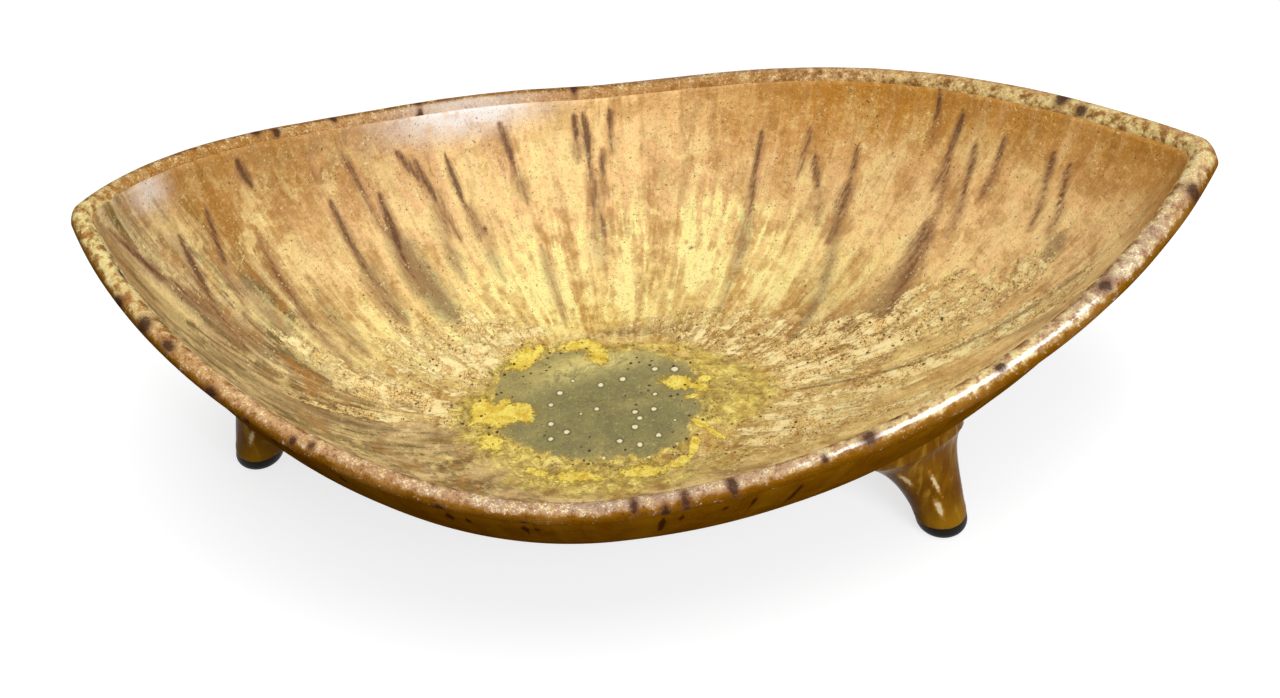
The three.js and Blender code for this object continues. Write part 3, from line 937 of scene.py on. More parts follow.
# %% Tongues, bubbles, pinholes and grain
def speck_coats(sheet, colour):
    """Narrow bands of the pool's ovals, of cells and of fine noises."""
    mottle, crumb, grain = sheet.mottle, sheet.crumb, sheet.grain
    tongue = sheet.stirred(sheet.field("tongue"), (crumb, 2.0), (mottle, 1.7))
    gold = sheet.mix(sheet.step(sheet.swirl, .38, .60), "#dcbc42", "#f8e974")
    bubble = sheet.field("bubble")
    pit = sheet.stirred(sheet.cells(sheet.place, .30), (crumb, .35))
    round_pool = sheet.step(sheet.field("melt"), -7.0, -2.0)
    pitted = sheet.calc("MAXIMUM", sheet.step(sheet.crust, .1, .5), round_pool)
    sheet.pin = sheet.thickness((pit, .20, .13, .9), pitted, (sheet.cloud, .42, .52))
    chip = sheet.noise(sheet.place, .9, 2.0, .6)
    nick = sheet.scaled(sheet.near_pool, -.045, chip)
    return sheet.coats(colour, [
        ("#937a2e", (tongue, -.25, .08, .7)),
        (gold, (tongue, .02, .25)),
        ("#5a5739", (bubble, -.6, -.1), sheet.melt, .45),
        ("#f1edcb", (sheet.scaled(grain, .5, bubble), .38, .62)),
        ("#322719", sheet.pin),
        ("#f7f3d0", (grain, .56, .76, .2)),
        ("#6f4a22", (grain, .46, .25, .5)),
        ("#f8e9b8", (chip, .60, .68, .6), (mottle, .48, .62), sheet.scaled(sheet.melt, -1.0, 1.0)),
        ("#5a3c16", (nick, .36, .30, .85), (mottle, .40, .56), sheet.scaled(sheet.melt, -.5, 1.0)),
    ])


# %% The inside glaze as one material
def inside_glaze(name):
    """Every coat from the ground up. The glass is smooth, and the crust is dull and raised."""
    sheet = Sheet(name)
    stir_glaze(sheet)
    colour = ground_coats(sheet)
    for layer in (streak_coats, iron_coats, crust_coats, pool_coats, speck_coats):
        colour = layer(sheet, colour)
    dull = sheet.scaled(sheet.step(sheet.crust, .1, .5), .25, .30)
    roughness = sheet.scaled(sheet.melt, -.12, dull)
    relief = sheet.scaled(sheet.thread, .5, sheet.times(sheet.grain, .25))
    relief = sheet.calc("ADD", relief, sheet.step(sheet.crust, .1, .6, .5))
    relief = sheet.scaled(sheet.pin, -.8, relief)
    return sheet.finish(colour, roughness, relief, .35, shine=.1)


GLAZE = inside_glaze("streaked_amber_glaze")

# %% [markdown]
# Outside, the glaze is a darker amber with runs from the lip. Its gloss is off, because at a low
# angle it would mirror the white ground as a veil over the dark colour, which the photograph
# doesn't show.

# %% Outside glaze
def outside_glaze(name):
    """Two ambers mixed by a slow noise, with breaks, grain and runs laid over them."""
    sheet = Sheet(name)
    flow = sheet.vector("flow")
    broad = sheet.noise(flow, (.07, .07, .012), 2.0, .5, .6)
    thread = sheet.noise(flow, (.55, .55, .05), 3.0, .6)
    mottle = sheet.noise(sheet.place, .12, 4.0, .6)
    grain = sheet.noise(sheet.place, .8, 3.0, .6)
    run = sheet.stirred(sheet.field("run"), (grain, .8))
    colour = sheet.coats(sheet.mix(sheet.step(mottle, .3, .7), "#6d4202", "#815205"), [
        ("#92680f", (broad, .48, .72, .4)),
        ("#553002", (thread, .46, .28, .3)),
        ("#c89a38", (grain, .62, .76, .3)),
        ("#34190b", (run, -.1, .5, .85)),
    ])
    relief = sheet.scaled(mottle, .6, sheet.times(grain, .15))
    return sheet.finish(colour, .3, relief, .4, shine=.0)


OUTSIDE = outside_glaze("dark_amber_glaze")

# %% [markdown]
# On the lip the glaze ran thin. It breaks to a pale speckled tan on top and pools to amber on
# the outward side, and this is partly painted shade: the coil is lighter on top, darker on its
# outward and under side, and darker on its inward face along the crease with the wall. Along the
# far side its inward face carries on the look of the wall, painted sheen too. Iron spots sit
# where they are seen, a painted highlight runs as a white line along the near right, and sparks
# of light on rough grains are painted as tiny pale dots.

# %% Lip glaze
def wall_skin(sheet, grain):
    """The look of the wall below, for the inward face of the far lip."""
    streak = sheet.noise(sheet.vector("flow"), (.10, .10, .05), 5.0, .62, .4)
    skin = sheet.mix(sheet.times(sheet.field("rose"), .6), "#b98950", "#cda07a")
    return sheet.coats(skin, [
        ("#b07c38", sheet.field("amber"), .8),
        ("#e2bf86", (streak, .50, .68, .4)),
        ("#edd6a0", (grain, .52, .68, .5)),
        ("#7c5428", (grain, .46, .30, .6)),
        ("#9b7038", (streak, .48, .32, .55)),
        # Painted sheen carried on from the wall onto the lip
        ("#f5f0f0", sheet.field("painted_sheen")),
    ])


def lip_glaze(name):
    """A ramp over how far the coil faces up, lighter on top as painted shade, then speckles on its
    top, the painted highlight line and spots.
    """
    sheet = Sheet(name)
    place = sheet.place
    cloud = sheet.noise(place, .05, 3.0)
    mottle = sheet.noise(place, .28, 4.0, .65)
    grain = sheet.noise(place, 1.1, 3.0, .75)
    spark = sheet.noise(place, 1.8, 1.0)
    fleck = sheet.blend(.5, grain, mottle)
    inward, mauve, pale = (sheet.field(key) for key in ("inward", "lip_mauve", "lip_pale"))
    up = sheet.stirred(sheet.field("up"), (mottle, .9))
    top = sheet.calc("MAXIMUM", sheet.step(up, .45, .95), inward)
    bare = sheet.scaled(sheet.field("skin"), -.5, 1.0)
    ridge_highlight = sheet.stirred(sheet.field("ridge_highlight"), (fleck, 2.4))
    spot = sheet.stirred(sheet.field("spot"), (grain, 1.6), (mottle, 1.9))
    # Partly painted shade: lighter on top and darker on the outward and under side, where the glaze
    # also pools to amber
    colour = sheet.ramp(sheet.scaled(up, .5, .5), [
        (.55, "#825304"), (.74, "#8f6014"), (.88, "#b4834c"), (.98, "#d0a16c"),
    ])
    colour = sheet.coats(colour, [
        ("#946325", sheet.field("lip_amber")),
        ("#b89c88", mauve, top),
        ("#b27e3d", (cloud, .45, .65, .4)),
        # Partly painted shade: the inward face darker along the crease with the wall
        (sheet.mix(sheet.step(mottle, .35, .6), "#93703f", "#c59a68"), inward),
        (wall_skin(sheet, grain), sheet.field("skin")),
        ("#f2d48c", (fleck, .515, .595, .75), top, bare),
        ("#f1e396", pale, (mottle, .40, .58, .85), top, bare),
        ("#6b4118", (fleck, .47, .38, .7), bare, sheet.scaled(pale, -.5, 1.0)),
        ("#f7f6f0", (spark, .59, .67), sheet.scaled(mauve, .6, .5), top, bare, (mottle, .42, .58)),
        # Painted highlight: a near-white line along the edge of the near right lip
        ("#fbf7f2", (ridge_highlight, .15, .50, .9)),
        ("#7a5138", (spot, -.7, .2, .6)),
        ("#432b22", (spot, -.1, .5, .85)),
    ])
    relief = sheet.scaled(mottle, .9, sheet.times(grain, 1.3))
    return sheet.finish(colour, .3, relief, .45, shine=.0)


LIP = lip_glaze("speckled_lip_glaze")

# %% [markdown]
# The legs were dipped with the outside, so they wear the same wet amber, with painted shade on
# the side that faces in and painted highlights as pale streaks.
# Their ends were wiped bare before firing, and the iron-rich clay fired nearly black.

# %% Leg glaze and bare clay
def leg_glaze(name):
    """Two ambers mixed by a noise, paler near the foot, darker on the side that faces in as painted
    shade, with pale streaks that are painted highlights.
    """
    sheet = Sheet(name)
    mottle = sheet.noise(sheet.place, (.12, .12, .06), 4.0, .6)
    ribbon = sheet.noise(sheet.place, (.22, .22, .05), 4.0, .6, .6)
    grain = sheet.noise(sheet.place, (.7, .7, .5), 3.0, .6)
    highlight_line = sheet.stirred(sheet.field("streak"), (grain, 1.6))
    colour = sheet.coats(sheet.mix(sheet.step(mottle, .32, .68), "#744805", "#8e5e0b"), [
        ("#ba9030", (ribbon, .50, .66, .6)),
        ("#693c04", (ribbon, .46, .32, .5)),
        ("#a67917", (sheet.field("height"), 22.0, 8.0, .6)),
        # Painted shade on the side of the leg that faces in
        ("#592d03", sheet.field("inner"), .6),
        ("#e5b960", (grain, .62, .76, .3)),
        # Painted highlight streaks with a softer halo
        ("#cb9747", (highlight_line, -.35, .25, .5)),
        ("#f3e1b4", (highlight_line, .15, .55, .85)),
    ])
    relief = sheet.scaled(mottle, .8, sheet.times(grain, .15))
    return sheet.finish(colour, .2, relief, .6, shine=.01)


def bare_clay(name):
    """Two near blacks mixed by a grain noise, with a relief of a fraction of a millimetre."""
    sheet = Sheet(name)
    grain = sheet.noise(sheet.place, 1.1, 3.0, .7)
    return sheet.finish(sheet.mix(grain, "#0b0604", "#19100b"), .4, grain, .15, shine=.12)


LEG = leg_glaze("amber_leg_glaze")
CLAY = bare_clay("bare_dark_clay")

# %% [markdown]
# The shell is one closed skin: up the inside from the middle, over a top edge that hides under
# the coil, and down the outside. Fingers leave a slow unevenness, always taken inward so that
# the piece never grows past its solid.

# %% Inside of the shell
SHELL_COLUMNS = 900
CROWDING = 0.27
INNER_ROWS = 78
OUTER_ROWS = 24
ROW_CROWDING = 1.25
UNEVEN = 0.45
UP_WALL_TWIST = 2.2
LIFT_SHIFT = 0.2
WAVERS_FROM = (0.35, 0.7)
WAVERS_UNTIL = (0.85, 0.95)
UNDER_COIL = 0.5
RIGHT_END_EASE = 0.55
RIGHT_END = (0.6, 0.95)
SWEEP = (0.3, 9.0)
# Seed, slowest wave and number of waves of each hand
INNER_HAND = (11, 3, 6)
OUTER_HAND = (12, 4, 7)
DENT = 0.6

shell_theta = ring_angles(SHELL_COLUMNS, CROWDING)
top_left = (coil_radius(shell_theta) / lip_height(shell_theta)) ** (1 / RISE_STEEPENING)
top_share = (1 - top_left) ** (1 / rise_power(shell_theta))
inner_portion = 1 - (1 - np.linspace(0, 1, INNER_ROWS)) ** ROW_CROWDING
inner_share = inner_portion[:, None] * top_share
inner_theta = np.broadcast_to(shell_theta, inner_share.shape)
inner_lift = hand_wave(inner_theta + UP_WALL_TWIST * inner_share, *INNER_HAND) - LIFT_SHIFT
inner_lift = UNEVEN * inner_lift * smooth(inner_share, *WAVERS_FROM)
inner_lift = inner_lift * (1 - smooth(inner_share, *WAVERS_UNTIL))
lip_top = FLOOR_HEIGHT + lip_height(inner_theta)
below_coil = lip_top - wall_point(inner_theta, inner_share, 0)[..., 2] - coil_radius(inner_theta)
onto_coil = coil_radius(inner_theta) - COIL_OUTSET * WALL_LIP - UNDER_COIL
onto_coil = onto_coil * (1 - RIGHT_END_EASE * smooth(np.cos(inner_theta), *RIGHT_END))
sweep = onto_coil * (1 - smooth(below_coil, *SWEEP))
inner_rings = wall_point(inner_theta, inner_share, inner_lift - sweep)
print("widest sweep onto the coil in mm:", round(float(sweep.max()), 2))

# %% Outside of the shell
outer_share = np.linspace(1, 0, OUTER_ROWS)[:, None] * top_share
outer_theta = np.broadcast_to(shell_theta, outer_share.shape)
outer_depth = WALL_BOTTOM + (WALL_LIP - WALL_BOTTOM) * outer_share
outer_dent = UNEVEN * (DENT - DENT * hand_wave(outer_theta + outer_share, *OUTER_HAND))
outer_rings = wall_point(outer_theta, outer_share, outer_depth - outer_dent)
outer_fields = {
    "run": run_field(outer_theta, outer_share, WALL_LIP, OUTER_RUNS),
    "flow": flow_place(outer_theta, outer_share),
}
shell_fields = {}
for key, values in glaze_fields(inner_theta, inner_share, inner_rings).items():
    other = outer_fields.get(key, np.zeros_like(outer_share))
    shell_fields[key] = np.concatenate([values, other])
shell_rings = np.concatenate([inner_rings, outer_rings])
shell = ring_piece("bowl_shell", shell_rings, "bowl_body", GLAZE, shell_fields)

# %% Two glazes on one skin
# A face belongs to the outside when its lowest-numbered corner lies past the inner rows
mesh = shell.data
mesh.materials.append(OUTSIDE)
corners = np.zeros(len(mesh.loops), int)
starts = np.zeros(len(mesh.polygons), int)
mesh.loops.foreach_get("vertex_index", corners)
mesh.polygons.foreach_get("loop_start", starts)
last_inner = 1 + (INNER_ROWS - 1) * SHELL_COLUMNS
outside_faces = (np.minimum.reduceat(corners, starts) >= last_inner).astype(int)
mesh.polygons.foreach_set("material_index", outside_faces)
print("outside faces:", int(outside_faces.sum()))

# %% [markdown]
# The lip is a rolled coil, pinched on by hand: its thickness and its line waver a little along
# the way. Its spots are given by the angle round the bowl, the angle round the coil, half the
# length and half the width in mm, because that is how one would point at them.

# %% Spots on the lip
LIP_SPOTS = [
    (151.5, 90, 2.6, 1.8), (149, 125, 2.4, 1.6), (138.5, 100, 2.0, 1.4), (121.5, 70, 2.6, 1.6),
    (122.5, 180, 2.6, 1.4), (90, 90, 4.2, 1.5), (15, 90, 4.2, 2.6), (12, 135, 2.4, 2.2),
    (-170, 165, 2.0, 2.4), (-166, 20, 2.6, 2.2), (-161.5, 48, 3.4, 2.6), (-157.5, 68, 2.0, 2.8),
    (-149.5, 16, 2.6, 2.8), (-144, -16, 2.6, 1.2), (-137, 44, 1.8, 1.2), (-134.5, 64, 1.8, 1.2),
    (-86.5, 62, 3.4, 1.5), (-82, -20, 4.4, 1.4), (-79, 36, 3.6, 1.7), (-72, 60, 4.2, 1.7),
    (-59, 48, 1.8, 1.2), (-52.5, 72, 2.6, 3.0), (-47.5, 140, 2.0, 2.4), (-19.5, 80, 2.4, 3.4),
    (-34.5, 80, 1.8, 2.0), (-6, 45, 3.6, 3.2), (-30, 150, 2.2, 2.6), (-115.5, -30, 2.4, 2.0),
    (-103, -30, 1.8, 1.4),
]


def lip_spot_field(theta, angle):
    """1 in the middle of an iron spot on the coil, 0 at its edge and below 0 outside."""
    field = np.full(theta.shape, -2.0)
    here = coil_point(theta, angle, 0.0)
    for turn, around, half_length, half_width in LIP_SPOTS:
        centre = coil_point(np.radians(turn), np.radians(around), 0.0)
        tangent = coil_point(np.radians(turn + 0.5), np.radians(around), 0.0) - centre
        tangent /= np.linalg.norm(tangent)
        away = here - centre
        across = away @ tangent
        along = np.linalg.norm(away - across[..., None] * tangent, axis=-1)
        field = np.maximum(field, 1 - np.hypot(across / half_width, along / half_length))
    return field


print("spots on the lip:", len(LIP_SPOTS))

# %% Lip coil
COIL_COLUMNS = 1100
COIL_ROWS = 36
THINNED = 0.22
RIPPLED = 0.10
LEAST_THINNED = 0.02
COIL_HAND = (21, 5, 9)
RIPPLE_HAND = (22, 3, 5)
RIPPLES = 6
INWARD_FACE = (0.1, 0.8)
SKIN_FACE = (0.1, 0.55)
# Where round the coil the painted highlight line sits, and how far it spreads
RIDGE_HIGHLIGHT_ANGLE = 63
RIDGE_HIGHLIGHT_SPREAD = 6.5
FAR_SIDE = ((42, 66), (172, 182))
BELOW_LIP = 0.015
LIP_AREAS = {
    "lip_amber": [
        (150, 1, 24, 1, .9), (172, 1, 8, 1, .4), (104, 1, 20, 1, .9), (70, 1, 18, 1, .5),
    ],
    "lip_mauve": [(-16, 1, 10, 1, 1.0), (-90, 1, 30, 1, .9), (60, 1, 12, 1, .3)],
    "lip_pale": [
        (-174, 1, 9, 1, 1.0), (5, 1, 10, 1, .6), (-40, 1, 14, 1, .8), (25, 1, 10, 1, .4),
    ],
    # Painted sheen on the inward face of the far lip
    "painted_sheen": [(113, 1, 9, 1, .55)],
    # Painted highlight along the near right lip
    "ridge_highlight": [(-45, 1, 6, 1, 1.0), (-34, 1, 6, 1, .8), (-56, 1, 5, 1, .5), (-24, 1, 5, 1, .35)],
}

coil_theta = np.broadcast_to(ring_angles(COIL_COLUMNS, CROWDING), (COIL_ROWS, COIL_COLUMNS))
coil_angle = (np.arange(COIL_ROWS) * FULL_TURN / COIL_ROWS)[:, None]
coil_angle = np.broadcast_to(coil_angle, coil_theta.shape)
thinning = THINNED + THINNED * hand_wave(coil_theta, *COIL_HAND)
thinning = thinning + RIPPLED * hand_wave(coil_theta * RIPPLES + coil_angle, *RIPPLE_HAND)
coil_rings = coil_point(coil_theta, coil_angle, np.maximum(thinning, LEAST_THINNED))
coil_share = np.ones_like(coil_theta)
coil_degrees = np.degrees(coil_theta) % 360
far_reach = smooth(coil_degrees, *FAR_SIDE[0]) * (1 - smooth(coil_degrees, *FAR_SIDE[1]))
coil_fields = {name: area_field(coil_theta, coil_share, table) for name, table in LIP_AREAS.items()}
# The painted highlight keeps to a narrow band round the coil
on_ridge_highlight = bell(np.degrees(coil_angle) - RIDGE_HIGHLIGHT_ANGLE, RIDGE_HIGHLIGHT_SPREAD)
coil_fields["ridge_highlight"] = coil_fields["ridge_highlight"] * on_ridge_highlight
for name in ("amber", "rose"):
    coil_fields[name] = area_field(coil_theta, coil_share - BELOW_LIP, SOFT_AREAS[name])
coil_fields["up"] = np.sin(coil_angle)
coil_fields["inward"] = smooth(-np.cos(coil_angle), *INWARD_FACE)
coil_fields["skin"] = far_reach * smooth(-np.cos(coil_angle), *SKIN_FACE)
coil_fields["spot"] = lip_spot_field(coil_theta, coil_angle)
coil_fields["flow"] = flow_place(coil_theta, coil_share)
ring_piece("lip_coil", coil_rings, "rim_coil", LIP, coil_fields,
           poles=False, closed=True)

# %% [markdown]
# Molten glass levels itself, so the pool is flat with a low rounded edge that melts into the
# glaze. Underneath it follows the bowl and sinks a little into it, as fused glass does.

# %% Glass pool
POOL_SHARE = 0.33
POOL_TOP = 19.705
POOL_COLUMNS = 480
POOL_ROWS = 84
POOL_SINK = 0.25
EDGE_LIFT = 0.06
FLAT_PART = 0.62
UNDER_STEP = 7

pool_theta = np.arange(POOL_COLUMNS) * FULL_TURN / POOL_COLUMNS
pool_levels = np.linspace(0, 1, POOL_ROWS)[:, None] * POOL_SHARE
pool_shares = np.broadcast_to(pool_levels, (POOL_ROWS, POOL_COLUMNS))
pool_grid = np.broadcast_to(pool_theta, pool_shares.shape)
top_rings = wall_point(pool_grid, pool_shares, 0.0)
flatness = 1 - smooth(pool_shares, POOL_SHARE * FLAT_PART, POOL_SHARE)
room = np.maximum(POOL_TOP - EDGE_LIFT - top_rings[..., 2], 0)
top_rings[..., 2] += EDGE_LIFT + flatness * room
top_rings[-1] = wall_point(pool_grid[-1], pool_shares[-1], POOL_SINK)
under_shares = pool_shares[::-UNDER_STEP][1:]
under_grid = pool_grid[::-UNDER_STEP][1:]
pool_rings = np.concatenate([top_rings, wall_point(under_grid, under_shares, POOL_SINK)])
all_grid = np.concatenate([pool_grid, under_grid])
pool_fields = glaze_fields(all_grid, np.concatenate([pool_shares, under_shares]), pool_rings)
POOL = inside_glaze("melted_pool_glass")
ring_piece("glass_puddle", pool_rings, "glass_pool", POOL, pool_fields)

# %% [markdown]
# Each leg was pulled from soft clay, pressed to the underside and smoothed in with a finger. It
# widens upward, leans in toward the middle, and ends in a fillet where it meets the bowl. The
# underside is read from a table of wall lines, so the leg knows how far up it may reach.

# %% The underside over the table
TABLE_ANGLES = 720
TABLE_SHARES = 90
table_grid = np.meshgrid(np.arange(TABLE_ANGLES) * FULL_TURN / TABLE_ANGLES,
                         np.linspace(0, 0.98, TABLE_SHARES), indexing="ij")
table_depth = WALL_BOTTOM + (WALL_LIP - WALL_BOTTOM) * table_grid[1]
table_wall = wall_point(table_grid[0], table_grid[1], table_depth)
table_radius = np.hypot(table_wall[..., 0] - MIDDLE_X, table_wall[..., 1])


def underside(x, y):
    """Heights of the bowl's outer face over spots of the table, from the nearest wall lines."""
    turn = (np.arctan2(y, x - MIDDLE_X) % FULL_TURN) / FULL_TURN * TABLE_ANGLES
    radius = np.hypot(x - MIDDLE_X, y)
    low = np.floor(turn).astype(int)

    def on_line(line):
        """Height of one wall line over each spot, straight between its two nearest points."""
        outer = (table_radius[line] < radius[..., None]).sum(-1).clip(1, TABLE_SHARES - 1)
        start, end = table_radius[line, outer - 1], table_radius[line, outer]
        first, last = table_wall[line, outer - 1, 2], table_wall[line, outer, 2]
        return first + (last - first) * ((radius - start) / (end - start)).clip(0, 1)

    part = turn - low
    return on_line(low % TABLE_ANGLES) * (1 - part) + on_line((low + 1) % TABLE_ANGLES) * part


middle_of_bowl = (np.array([MIDDLE_X]), np.array([0.0]))
print("underside at the middle in mm:", underside(*middle_of_bowl).round(2))

# %% Shape of a leg
FEET = {"left": (-131.0, 8.0), "front_right": (115.4, -59.0), "back_right": (115.4, 59.0)}
FOOT_RADIUS = 9.2
FOOT_FLAT_RADIUS = 5.2
FOOT_ROUND_HEIGHT = 4.0
LEG_FLARE = 9.63
LEG_FLARE_HEIGHT = 40.0
LEG_FLARE_POWER = 1.73
LEG_LEAN = 0.2
# Painted highlights, pale streaks on the legs: turn from outward, height, half width, half height
LEG_HIGHLIGHTS = [
    (-60, 17.0, 1.5, 5.0), (-84, 33.0, 1.6, 4.0), (-48, 30.0, 0.9, 7.0), (70, 20.0, 1.3, 5.0),
]


def leg_radius(height):
    """Radius of a leg: a rounded end below, then a flare that grows as a power of the height."""
    fall = np.clip(1 - height / FOOT_ROUND_HEIGHT, 0, 1)
    rounded = FOOT_FLAT_RADIUS + (FOOT_RADIUS - FOOT_FLAT_RADIUS) * np.sqrt(1 - fall ** 2)
    climb = np.maximum(height - FOOT_ROUND_HEIGHT, 0) / LEG_FLARE_HEIGHT
    flared = FOOT_RADIUS + LEG_FLARE * climb ** LEG_FLARE_POWER
    return np.where(height < FOOT_ROUND_HEIGHT, rounded, flared)


def leg_points(foot, heights, angles, radii):
    """Points around a leg that leans toward the middle of the bowl as it climbs."""
    inward = -np.array(foot) / math.hypot(*foot)
    lean = np.maximum(leg_radius(heights) - FOOT_RADIUS, 0) + LEG_LEAN * heights
    x = foot[0] + MIDDLE_X + inward[0] * lean + radii * np.cos(angles)
    y = foot[1] + inward[1] * lean + radii * np.sin(angles)
    return np.stack([x, y, heights], -1)


def leg_highlight_field(outward, heights, angles, radii):
    """1 in the middle of a painted highlight streak on a leg, 0 at its edge and below 0 outside."""
    field = np.full(heights.shape, -2.0)
    for turn, level, half_width, half_height in LEG_HIGHLIGHTS:
        away = (angles - outward - math.radians(turn) + math.pi) % FULL_TURN - math.pi
        across = away * radii / half_width
        field = np.maximum(field, 1 - np.hypot(across, (heights - level) / half_height))
    return field


print("leg radius at its foot and near its top:", leg_radius(np.array([4.0, 44.0])).round(1))

# %% Glazed legs
LEG_COLUMNS = 128
LEG_ROWS = 90
CAP_ROWS = 16
LEG_TOP = 66.0
GLAZE_EDGE = 6.0
GLAZE_EDGE_WAVE = 1.0
GLAZE_ROLL = 0.22
# How far round the leg the painted shade on the side that faces in reaches
SHADED_INNER_SIDE = (-0.2, 0.9)
ROLL_RISE = (0.0, 0.02)
ROLL_FALL = (0.03, 0.10)
LEG_WAVER = 0.25
TWIST_HEIGHT = 20
MOUTH_RISE = 0.5
MOUTH_SHARE = 0.9
BASE_RISE = 2.0
FILLET = 4.0
FILLET_REACH = 6.5
SINK = 2.6
RING = np.arange(LEG_COLUMNS) * FULL_TURN / LEG_COLUMNS


def make_leg(place, foot, seed):
    """One glazed leg. The glaze ends in a wavy, slightly rolled edge above the bare tip."""
    angles = np.broadcast_to(RING, (LEG_ROWS, LEG_COLUMNS))
    edge = GLAZE_EDGE + GLAZE_EDGE_WAVE * hand_wave(angles, seed, 1, 3)
    portion = np.linspace(0, 1, LEG_ROWS)[:, None]
    heights = edge + (LEG_TOP - edge) * portion
    waver = LEG_WAVER * hand_wave(angles + heights / TWIST_HEIGHT, seed + 1, 2, 3)
    radii = leg_radius(heights) + waver - LEG_WAVER
    radii = radii + GLAZE_ROLL * smooth(portion, *ROLL_RISE) * (1 - smooth(portion, *ROLL_FALL))
    points = leg_points(foot, heights, angles, radii)
    wall = underside(points[..., 0], points[..., 1])
    radii = radii + FILLET * np.exp(-np.maximum(wall - heights, 0) / FILLET_REACH)
    points = leg_points(foot, heights, angles, radii)
    wall = underside(points[..., 0], points[..., 1])
    points[..., 2] = np.minimum(points[..., 2], wall + SINK)
    mouth = leg_points(foot, heights[:1] + MOUTH_RISE, angles[:1], radii[:1] * MOUTH_SHARE)
    base = leg_points(foot, heights[:1] + BASE_RISE, angles[:1], radii[:1] * 0.0)
    cap_radii = radii[-1:] * np.linspace(1, 0, CAP_ROWS + 1)[1:, None]
    closing = leg_points(foot, heights[-1:] + np.zeros((CAP_ROWS, 1)), angles[:CAP_ROWS], cap_radii)
    closing[..., 2] = underside(closing[..., 0], closing[..., 1]) + SINK
    rings = np.concatenate([base, mouth, points, closing])
    outward = math.atan2(foot[1], foot[0])
    around = np.broadcast_to(RING, rings.shape[:2])
    height = rings[..., 2].copy()
    leg_fields = {
        "height": height,
        # Painted shade on the side that faces the bowl's middle
        "inner": smooth(-np.cos(around - outward), *SHADED_INNER_SIDE),
        # Painted highlight streaks
        "streak": leg_highlight_field(outward, height, around, leg_radius(height)),
    }
    ring_piece("leg_" + place + "_glazed", rings, "leg_" + place, LEG, leg_fields)


print("leg rings:", LEG_ROWS + CAP_ROWS + 2, "of", LEG_COLUMNS, "points")

# %% [markdown]
# The wiped tip is a rounded plug that carries on the line of the leg. It closes inside the leg,
# a little in from the glaze, so that the two never share a face.

# %% Bare tips of the legs
TIP_GAP = 0.12
TIP_CLOSE = 1.2
TIP_ROUNDING = np.linspace(0, 1, 14) ** 1.6 * FOOT_ROUND_HEIGHT
TIP_LEVELS = np.concatenate([[0.0, 0.0], TIP_ROUNDING, [6.0, 9.0, 9.0]])
LEG_SEEDS = {"left": 40, "front_right": 50, "back_right": 60}


def make_tip(place, foot):
    """The bare end of one leg, a stack of rings from its flat foot to a plug inside the leg."""
    angles = np.broadcast_to(RING, (len(TIP_LEVELS), LEG_COLUMNS))
    heights = np.broadcast_to(TIP_LEVELS[:, None], angles.shape)
    radii = leg_radius(heights) - TIP_GAP
    radii[-2] = leg_radius(heights[-2]) - TIP_CLOSE
    radii[[0, -1]] = 0.0
    rings = leg_points(foot, heights, angles, radii)
    ring_piece("foot_" + place + "_bare", rings, "foot_tip_" + place, CLAY)


for place, foot in FEET.items():
    make_leg(place, foot, LEG_SEEDS[place])
    make_tip(place, foot)

# %% [markdown]
# The photograph has a clean white ground. So the floor, which bounces a dim warm light onto the
# bowl, looks white to the rays that show it: those of the camera, and those in gloss and glass.
# There it is a glow plus a little paper, so that it still takes the bowl's shadow. The glow
# grows with distance, because less light reaches the floor far out.

# %% Floor
FLOOR_HALF = 3.0
FLOOR_BOUNCE = (0.20, 0.165, 0.115, 1.0)
FLOOR_PAPER = (0.46, 0.475, 0.50, 1.0)
FLOOR_GLOW = {"From Min": 500.0, "From Max": 1600.0, "To Min": 0.72, "To Max": 0.92}
WHITE = (1.0, 1.0, 1.0, 1.0)


def seen_rays(tree):
    """1 for the rays that show the white ground: to the camera, in gloss and through glass."""
    rays = tree.nodes.new("ShaderNodeLightPath")
    total = rays.outputs["Is Camera Ray"]
    for kind in ("Is Glossy Ray", "Is Transmission Ray"):
        larger = tree.nodes.new("ShaderNodeMath")
        larger.operation = "MAXIMUM"
        tree.links.new(total, larger.inputs[0])
        tree.links.new(rays.outputs[kind], larger.inputs[1])
        total = larger.outputs[0]
    return total


floor_mesh = bpy.data.meshes.new("studio_floor")
square = ((-1, -1), (1, -1), (1, 1), (-1, 1))
floor_corners = [(FLOOR_HALF * x, FLOOR_HALF * y, 0) for x, y in square]
floor_mesh.from_pydata(floor_corners, [], [(0, 1, 2, 3)])
floor = bpy.data.objects.new("studio_floor", floor_mesh)
bpy.context.scene.collection.objects.link(floor)
paving = Sheet("pale_floor")
paving.shader.inputs["Base Color"].default_value = FLOOR_BOUNCE
paving.shader.inputs["Roughness"].default_value = 0.8
far = paving.add("ShaderNodeVectorMath", {0: paving.place}, operation="LENGTH").outputs["Value"]
glow = paving.add("ShaderNodeMapRange", {"Value": far, **FLOOR_GLOW}).outputs["Result"]
glow = paving.add("ShaderNodeEmission", {"Color": WHITE, "Strength": glow}).outputs[0]
paper = paving.add("ShaderNodeBsdfDiffuse", {"Color": FLOOR_PAPER}).outputs[0]
seen = paving.add("ShaderNodeAddShader", {0: glow, 1: paper}).outputs[0]
lit = paving.shader.outputs[0]
either = paving.add("ShaderNodeMixShader", {0: seen_rays(paving.tree), 1: lit, 2: seen})
paving.tree.links.new(either.outputs[0], paving.tree.nodes["Material Output"].inputs["Surface"])
floor_mesh.materials.append(paving.material)
print("floor side in m:", 2 * FLOOR_HALF)

# %% [markdown]
# The world is a dim warm air for the light, and plain white for the rays that show the ground.

# %% World
AIR_TINT = (1.0, 0.97, 0.93, 1.0)
AIR_STRENGTH = 0.20

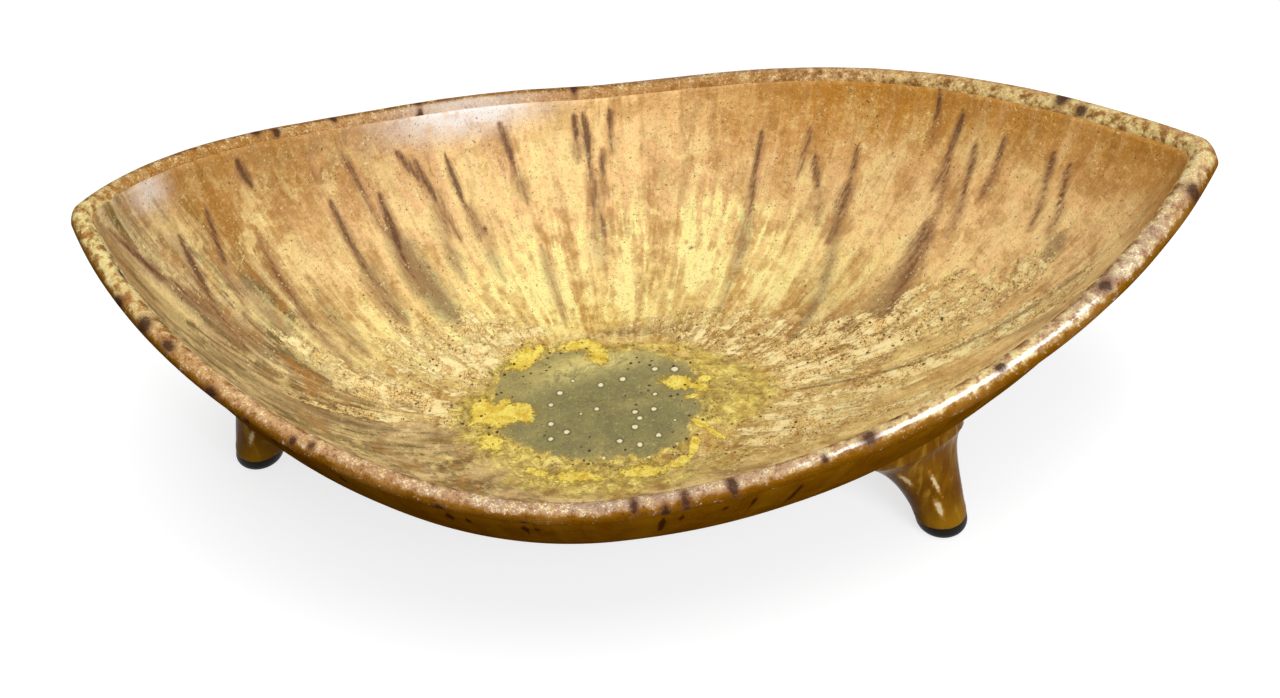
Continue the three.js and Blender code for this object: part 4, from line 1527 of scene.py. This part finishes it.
world = bpy.data.worlds.new("studio_air")
bpy.context.scene.world = world
world.use_nodes = True
air = world.node_tree
soft = air.nodes["Background"]
plain = air.nodes.new("ShaderNodeBackground")
for background, tint, strength in ((soft, AIR_TINT, AIR_STRENGTH), (plain, WHITE, 1.0)):
    background.inputs["Color"].default_value = tint
    background.inputs["Strength"].default_value = strength
either = air.nodes.new("ShaderNodeMixShader")
for socket, source in enumerate((seen_rays(air), soft.outputs[0], plain.outputs[0])):
    air.links.new(source, either.inputs[socket])
air.links.new(either.outputs[0], air.nodes["World Output"].inputs["Surface"])
print("air strength:", AIR_STRENGTH)

# %% [markdown]
# Soft light fits a glazed pot: a large lamp above, a smaller one in front, and a cool one low on
# the right, as from a window. They are dim enough that a colour renders about as it is written.

# %% Lamps
WARM = (1.0, 0.965, 0.905)
# Name, place, target, side in metres, power and colour
LAMPS = [
    ("overhead_softbox", (0.05, -0.15, 1.1), (0, 0, 0.05), 0.8, 8.5, WARM),
    ("front_key", (0.25, -0.9, 0.75), (0, 0, 0.05), 0.5, 3.45, WARM),
    ("window_right", (0.46, -0.66, 0.26), (-0.06, 0.1, 0.08), 0.25, 2.2, (0.92, 0.96, 1.0)),
]

for name, place, target, size, power, colour in LAMPS:
    data = bpy.data.lights.new(name, "AREA")
    data.size = size
    data.energy = power
    data.color = colour
    lamp = bpy.data.objects.new(name, data)
    aim = np.array(target) - np.array(place)
    back = -aim / np.linalg.norm(aim)
    side = np.cross([0, 1, 0], back)
    side /= np.linalg.norm(side)
    up = np.cross(back, side)
    rows = [[side[i], up[i], back[i], place[i]] for i in range(3)]
    lamp.matrix_world = Matrix(rows + [[0, 0, 0, 1]])
    bpy.context.scene.collection.objects.link(lamp)
    print(name, power, "W")

# %% [markdown]
# The camera is fitted to the photograph: it looks down at the near side, a little rolled, so
# that the two points, the lip and both visible feet fall where the photograph has them.

# %% Camera
CAMERA_PLACE = (-0.019577, -0.487861, 0.470567)
CAMERA_DOWN = math.radians(41.2118)
CAMERA_ROLL = math.radians(4.4863)
CAMERA_TURN = math.radians(1.3414)

camera_data = bpy.data.cameras.new("camera")
camera_data.sensor_fit = "HORIZONTAL"
camera_data.sensor_width = 36.0
camera_data.lens = 50.625
camera = bpy.data.objects.new("camera", camera_data)
turned = Matrix.Rotation(-CAMERA_TURN, 4, "Z") @ Matrix.Rotation(math.pi / 2 - CAMERA_DOWN, 4, "X")
rolled = turned @ Matrix.Rotation(-CAMERA_ROLL, 4, "Z")
camera.matrix_world = Matrix.Translation(CAMERA_PLACE) @ rolled
bpy.context.scene.collection.objects.link(camera)
bpy.context.scene.camera = camera
bpy.context.scene.view_settings.view_transform = "Standard"
print("camera above the table in m:", CAMERA_PLACE[2])
